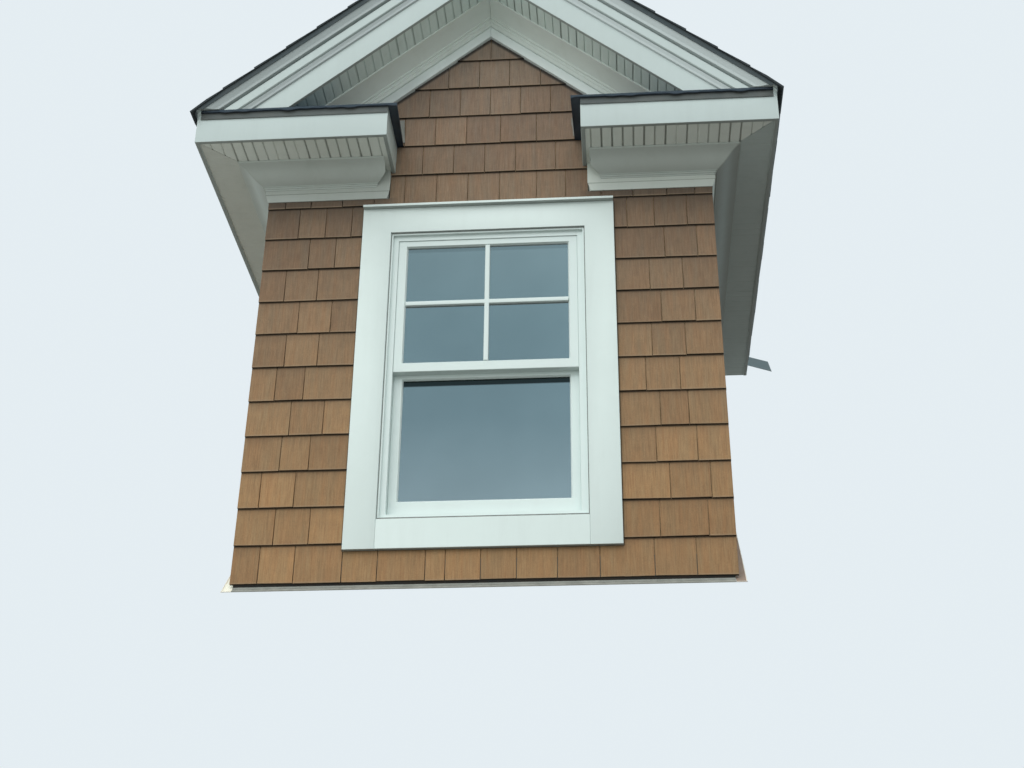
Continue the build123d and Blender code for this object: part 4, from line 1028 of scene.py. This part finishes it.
# %% [markdown]
# ## Coverings of the returns
#
# Each return is roofed with black sheet over a thin board, and the sheet is dressed over its
# edges. It is a cloth laid over a table: a point beyond the edge hangs down by as much as it
# lies beyond, and a slow wave lets the hem rise and fall, as hand-dressed sheet does. Board and
# sheet narrow towards the wall at their inner end, the left one more than the right one, and a
# sliver of bent metal stands on the wall beside each.

# %% Boards and sheet over the returns
X0, X1, Y0 = RETURN_IN - RETURN_LIP, EAR_IN - 0.0006, FRONT - OVERHANG - 0.012


def narrowed(x, y, side):
    """Move a point out: the share towards the wall times the share towards the inner end, times
    the narrowing of that side."""
    share = np.clip((X1 - x) / (X1 - X0), 0, 1)
    towards = np.clip((y - Y0) / (FRONT - Y0), 0, 1)
    return x + share * (NARROW_RIGHT if side > 0 else NARROW_LEFT) * towards


def covering_board(side):
    """The board under the sheet, an outline in x and y carried from its foot to its top."""
    outline = np.array(oblong(X0, X1, Y0, FRONT))
    outline[:, 0] = side * narrowed(*outline.T, side)
    return shell([np.column_stack([outline, np.full(4, z)]) for z in (FASCIA_TOP, RETURN_TOP - 0.002)])


def dressed_sheet(side, hang=0.017):
    """A sheet over the board. For a point (a, b) of the larger sheet, c is the nearest point of
    the board; it lies at c, moved out by 2 mm, and as far below the top as (a, b) is from c. The
    hem's length is hang * (1 + waves)."""
    x0, x1, y0, y1, top = X0 + 0.003, X1 - 0.001, Y0 + 0.003, FRONT - 0.001, RETURN_TOP - 0.001
    beyond = hang * np.array([1.0, 0.66, 0.33, 0.02])
    a = np.concatenate([x0 - beyond, np.linspace(x0, x1, 58)])
    b = np.concatenate([y0 - beyond, np.linspace(y0, y1, 12)])
    a, b = np.meshgrid(a, b, indexing="ij")
    c = np.clip(a, x0, x1), np.clip(b, y0, y1)
    away = np.hypot(a - c[0], b - c[1])
    wave = 1 + 0.26 * np.sin(23 * c[0] + 3.1 * c[1]) + 0.20 * np.sin(61 * c[0] + 1.3 + side)
    wave = wave + 0.2 * np.sin(19 * c[1])
    unit = np.stack([a - c[0], b - c[1]]) / np.maximum(away, 1e-9)
    out = 0.0022 * np.minimum(away / (0.3 * hang), 1)
    z = top - away * wave + 0.0012 * np.sin(9 * c[0]) * np.sin(15 * c[1]) * (away < 1e-6)
    grid = np.stack([side * (narrowed(c[0], c[1], side) + unit[0] * out), c[1] + unit[1] * out, z], -1)
    return grid[::side]


def open_grid(grid):
    """Points and quads of a grid that isn't closed."""
    i, j = np.meshgrid(*(np.arange(count - 1) for count in grid.shape[:2]), indexing="ij")
    across = grid.shape[1]
    n = i * across + j
    return grid.reshape(-1, 3), np.stack([n, n + across, n + across + 1, n + 1], -1).reshape(-1, 4).tolist()


boards = [covering_board(side) for side in (1, -1)]
piece("return_covering_boards", boards, membrane, "black_membrane", "return_roofs")
sheets = [open_grid(dressed_sheet(side)) for side in (1, -1)]
sheets = piece("return_coverings", sheets, membrane, "black_membrane", smooth=60)
solid = sheets.modifiers.new("thickness", "SOLIDIFY")
solid.thickness, solid.offset = 0.002, 0.0

# %% Drip edges under the sheet
drip = mm([(321, 0), (323, 0), (323, -27), (324.5, -33.5), (326.2, -37), (325, -37.8), (322.8, -34),
           (321.2, -28.5)], up=FASCIA_TOP)
piece("return_drip_edges", both(along_x(drip, RETURN_IN, EAR_IN)), drip_grey, "weathered_metal",
      "return_drips", smooth=50)

# %% Bent metal on the wall beside the sheet
right_sliver = mm([(409.6, 2395.3), (417, 2396), (421.5, 2340), (427.5, 2286), (417.5, 2286), (415, 2330),
                   (409.8, 2360)])
left_sliver = mm([(-460, 2425), (-429, 2426.6), (-426.2, 2350), (-422.2, 2286), (-437, 2286), (-445, 2340),
                  (-453, 2390)])
slivers = [shell([np.stack([x, FRONT - out - 0.0015 * np.sin(40 * z), z], 1) for out in (0.0172, 0.0186)])
           for x, z in (right_sliver.T, left_sliver.T)]
piece("return_end_metal", slivers, worn_metal, "weathered_metal", smooth=50)
print("pieces so far:", len(pieces_made))

# %% [markdown]
# ## Casings
#
# The window is cased with flat boards. The head and the sides are caulked and painted over, so
# no joint shows between them, and one outline like a door frame gives all three. Its front
# edges are eased: the outline is drawn in a little as it nears the face. The bottom board stands
# between the sides with a hairline at each end, and a thin cap sheds the rain over the head.
# A bead of sealant fills the corner between the casing and the frame; its dark colour is a painted shadow line
# along that joint.

# %% Casings
def casing_ring(out, pull):
    """The outline of head and sides at one distance out, each corner drawn in by pull."""
    a, b, foot, head = OPEN_HALF, CASING_OUT, CASING_FOOT + pull, HEAD
    top = HEAD + CASING - pull
    outline = [(-b + pull, foot), (-a - pull, foot), (-a - pull, head + pull), (a + pull, head + pull),
               (a + pull, foot), (b - pull, foot), (b - pull, top), (-b + pull, top)]
    return [(x, FRONT - out, z) for x, z in outline]


face_pulls = ((0, 0), (CASING_T - 0.002, 0), (CASING_T - 0.0006, 0.0006), (CASING_T, 0.002))
casing_rings = [casing_ring(out, pull) for out, pull in face_pulls]
foot_board = plank(-OPEN_HALF + 0.0005, OPEN_HALF - 0.0005, FRONT - CASING_T + 0.0008, FRONT, CASING_FOOT, SILL)
piece("window_casing_boards", [shell(casing_rings), foot_board], white_paint, "white_trim",
      "side_casings", "head_casing", "bottom_casing")

# %% Sealant, dark as a painted shadow line
frame_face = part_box("window_frame")[0][1]
outer = oblong(-0.4644, 0.4644, SILL + 0.0005, HEAD - 0.0006)
inner = oblong(-0.4606, 0.4606, SILL + 0.0094, HEAD - 0.0036)
bead = [[(a[0], frame_face + 0.001, a[1]), (a[0], frame_face - 0.0005, a[1]), (b[0], frame_face - 0.0005, b[1]),
         (b[0], frame_face + 0.001, b[1])] for a, b in zip(outer, inner)]
piece("casing_shadow_line", [shell(bead, loop=True)], sealant, "weathered_metal")

# %% Cap
cap_foot = HEAD + CASING
cap = eased([(0.0, cap_foot), (0.0505, cap_foot), (0.0505, cap_foot + 0.013), (0.0, cap_foot + CAP)], 0.0014)
piece("window_drip_cap", [along_x(cap, -CASING_OUT, CASING_OUT)], white_paint, "white_trim", "drip_cap")

# %% [markdown]
# ## Sashes and bars
#
# A sash is a frame whose four sides differ in width, so its section is written in shares: 0 at
# the outer edge and 1 at the glass. Each corner ring is the mitre between the outer and the
# inner corner, and the slope near the glass is the glazing bevel. The upper sash is divided by
# two bars into four panes.

# %% Sashes
SASH_HALF, STILE, SASH_T = 0.4275, 0.044, 0.035
UPPER_FOOT, UPPER_TOP, CHECK_RAIL, TOP_RAIL = 0.985, 1.7045, 0.052, 0.034


def sash(foot, top, low_rail, high_rail, out):
    """A sash as a loop of four mitred rings. A ring point with share w lies at
    outer + w * (inner - outer) in x and z, and at its own distance out."""
    front = np.array([(0.0, -0.002), (0.04, 0.0), (0.87, 0.0), (0.90, -0.0014), (0.985, -0.0118),
                      (1.0, -0.0125)])
    back = front[:1:-1] * (1, -1) - (0, SASH_T)
    w, face = np.concatenate([[(0.0, -SASH_T)], front, back]).T
    outer = np.array(oblong(-SASH_HALF, SASH_HALF, foot, top))
    inner = np.array(oblong(STILE - SASH_HALF, SASH_HALF - STILE, foot + low_rail, top - high_rail))
    flat = outer[:, None] + w[None, :, None] * (inner - outer)[:, None]
    y = np.broadcast_to(FRONT - out - face, flat.shape[:2])
    return shell(np.stack([flat[..., 0], y, flat[..., 1]], -1), loop=True)


# The sizes are foot, top, lower rail, upper rail and distance out.
for node, sizes in (("upper_sash", (UPPER_FOOT, UPPER_TOP, CHECK_RAIL, TOP_RAIL, -0.002)),
                    ("lower_sash", (0.2855, 1.005, 0.070, 0.042, -0.040))):
    piece(node + "_frame", [sash(*sizes)], window_white, "window_white", node)


# %% Bars of the upper sash
def bars(face, sign):
    """Four bars that meet in a pointed cross. The section is (aside, out); where the bars meet,
    each point starts as far along as it stands aside, which is the mitre of a cross."""
    side, out = mm([(-11.5, 0), (-11.3, 11), (-9.8, 13.6), (-7, 14.4), (0, 14.5), (7, 14.4), (9.8, 13.6),
                    (11.3, 11), (11.5, 0)]).T
    half, low, high, cross = SASH_HALF - STILE, UPPER_FOOT + CHECK_RAIL, UPPER_TOP - TOP_RAIL, 1.3545
    solids = []
    for dx, dz, reach in ((1, 0, half), (-1, 0, half), (0, 1, high - cross), (0, -1, cross - low)):
        ends = np.abs(side), np.full(len(side), reach)
        solids.append(shell([np.stack([dx * along - dz * side, face - sign * out,
                                       cross + dz * along + dx * side], 1) for along in ends]))
    return solids


middle = FRONT + 0.002 + SASH_T / 2
piece("upper_sash_bars", bars(middle - 0.0024, 1) + bars(middle + 0.0024, -1), window_white, "window_white")

# %% [markdown]
# ## Foot of the wall
#
# Under the first course a strip of black felt closes the gap down to the apron, and shows as a
# dark line: its black stands in for the shadow under the butts, a painted shadow. The free edges
# of the flashings are folded under, and the fold catches the light: a thin round hem is carried
# along each edge.

# %% Felt strip, black as a painted shadow, and step of the apron
foot_end = WALL - 0.002
felt = mm([(2.3, -55.2), (9.5, -62), (9.8, -41.5), (2.3, -41.5)])
step = mm([(10, -63), (10, -58.2), (12.2, -57.5), (13.8, -58.8), (14.2, -67)])
piece("shadow_strip_of_felt", [along_x(felt, -foot_end, foot_end)], felt_as_shadow, "black_membrane")
piece("apron_step", [along_x(step, -foot_end, foot_end)], old_metal, "weathered_metal")


# %% Folded hems
def hem(start, stop, radius=0.0022):
    """A thin round fold between two points: a ring of eight points about each end, in the plane
    square to the run."""
    run = np.subtract(stop, start)
    across = np.cross(run, (0.0, 0.0, 1.0))
    across /= np.linalg.norm(across)
    square = np.cross(across, run) / np.linalg.norm(run)
    turn = np.linspace(0, 2 * np.pi, 8, endpoint=False)[:, None]
    ring = radius * (np.cos(turn) * across + np.sin(turn) * square)
    return shell([point + ring for point in (start, stop)])


def on_edge(x, y):
    """A point just above the slope that the flashings lie on."""
    return x, y, y + 0.0028


front_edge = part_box("apron_flashing")[0][1] + 0.0023
side_x = WALL + 0.045 - 0.0022
side_hems = both(hem(on_edge(side_x, front_edge), on_edge(side_x, 2.09)),
                 hem(on_edge(WALL + 0.002, front_edge), on_edge(side_x, front_edge)))
piece("side_flashing_hems", side_hems, bright_hem, "weathered_metal", smooth=60)
apron_hem = hem(on_edge(-foot_end, front_edge), on_edge(foot_end, front_edge))
piece("apron_hem", [apron_hem], old_metal, "weathered_metal", smooth=60)

# %% [markdown]
# ## Light and stage
#
# A dull bright day has no sun: the light comes from all over, more from above than from the
# sides, and little from the ground. The world gives that, with one broad soft lamp to model
# the trim. The floor shows only from above, so it never hides the part from the low camera, and
# it looks pale to the camera but returns no more light than ground does, and more of it on the
# left, where the day is brighter. Glass and metal see a brighter, bluer day with slow clouds.

# %% World and lamp
world = bpy.data.worlds.new("day")
bpy.context.scene.world = world
world.use_nodes = True
tree = world.node_tree
for old in list(tree.nodes):
    tree.nodes.remove(old)
heading = add(tree, "ShaderNodeTexCoord").outputs["Generated"]
direction = axes(tree, heading)
day = ramp(tree, span(tree, direction["Z"], -1.0, 1.0),
           [(0.0, (0.23, 0.235, 0.22)), (0.46, (0.29, 0.295, 0.28)), (0.50, (0.62, 0.64, 0.63)),
            (0.57, (0.95, 0.98, 0.965)), (0.74, (0.98, 1.01, 1.0)), (1.0, (1.80, 1.85, 1.82))])
day = tinted(tree, day, span(tree, direction["X"], -0.9, 0.9, 1.37, 0.59))
mirrored_day = ramp(tree, span(tree, direction["Z"], 0.30, 0.80),
                    [(0.20, (0.92, 1.28, 1.44)), (0.32, (0.57, 0.88, 1.02)),
                     (0.43, (0.55, 0.87, 1.00)), (0.52, (0.68, 1.02, 1.14))])
drift = span(tree, noise(tree, heading, 3.2, 3.0), 0.35, 0.65, 0.86, 1.12)
mirrored_day = tinted(tree, mirrored_day, drift)
path = add(tree, "ShaderNodeLightPath").outputs
shiny = maths(tree, "MAXIMUM", path["Is Glossy Ray"], path["Is Transmission Ray"])
seen = maths(tree, "MAXIMUM", path["Is Camera Ray"], shiny)
lit = add(tree, "ShaderNodeBackground", {"Color": day, "Strength": 1.0}).outputs[0]
backdrop = blend(tree, shiny, (0.78, 0.85, 0.89), mirrored_day)
shown = add(tree, "ShaderNodeBackground", {"Color": backdrop, "Strength": 1.0}).outputs[0]
either = add(tree, "ShaderNodeMixShader", {0: seen, 1: lit, 2: shown})
add(tree, "ShaderNodeOutputWorld", {"Surface": either.outputs[0]})

lamp = bpy.data.lights.new("soft_day", "SUN")
lamp.energy, lamp.angle, lamp.color = 1.15, math.radians(60), (1.0, 1.0, 0.985)
sun = bpy.data.objects.new("soft_day", lamp)
bpy.context.scene.collection.objects.link(sun)
sun.rotation_euler = (math.radians(40), 0.0, math.radians(-14))
sun.visible_glossy = sun.visible_transmission = False

# %% Floor
FLOOR_HALF = 40
low = cad_box[0][2] - 0.002
floor_mesh = bpy.data.meshes.new("floor")
corners = [(x, y, low) for x, y in oblong(-FLOOR_HALF, FLOOR_HALF, -FLOOR_HALF, FLOOR_HALF)]
floor_mesh.from_pydata(corners, [], [(0, 1, 2, 3)])
floor = bpy.data.objects.new("floor", floor_mesh)
bpy.context.scene.collection.objects.link(floor)
pale, tree, shader, at = finish("pale_floor", roughness=0.9)
bounce = blend(tree, span(tree, axes(tree, at)["X"], -2.6, 2.6), (0.31, 0.32, 0.305), (0.19, 0.195, 0.19))
seen = add(tree, "ShaderNodeLightPath").outputs["Is Camera Ray"]
tree.links.new(blend(tree, seen, bounce, (0.74, 0.77, 0.78)), shader.inputs["Base Color"])
from_below = add(tree, "ShaderNodeNewGeometry").outputs["Backfacing"]
clear = add(tree, "ShaderNodeBsdfTransparent").outputs[0]
mixed = add(tree, "ShaderNodeMixShader", {0: from_below, 1: shader.outputs[0], 2: clear})
tree.links.new(mixed.outputs[0], tree.nodes["Material Output"].inputs["Surface"])
floor_mesh.materials.append(pale)
bpy.context.scene.view_settings.view_transform = "Standard"

# %% Count of the pieces, and the end
print("pieces made:", len(pieces_made), "faces:", sum(pieces_made.values()))
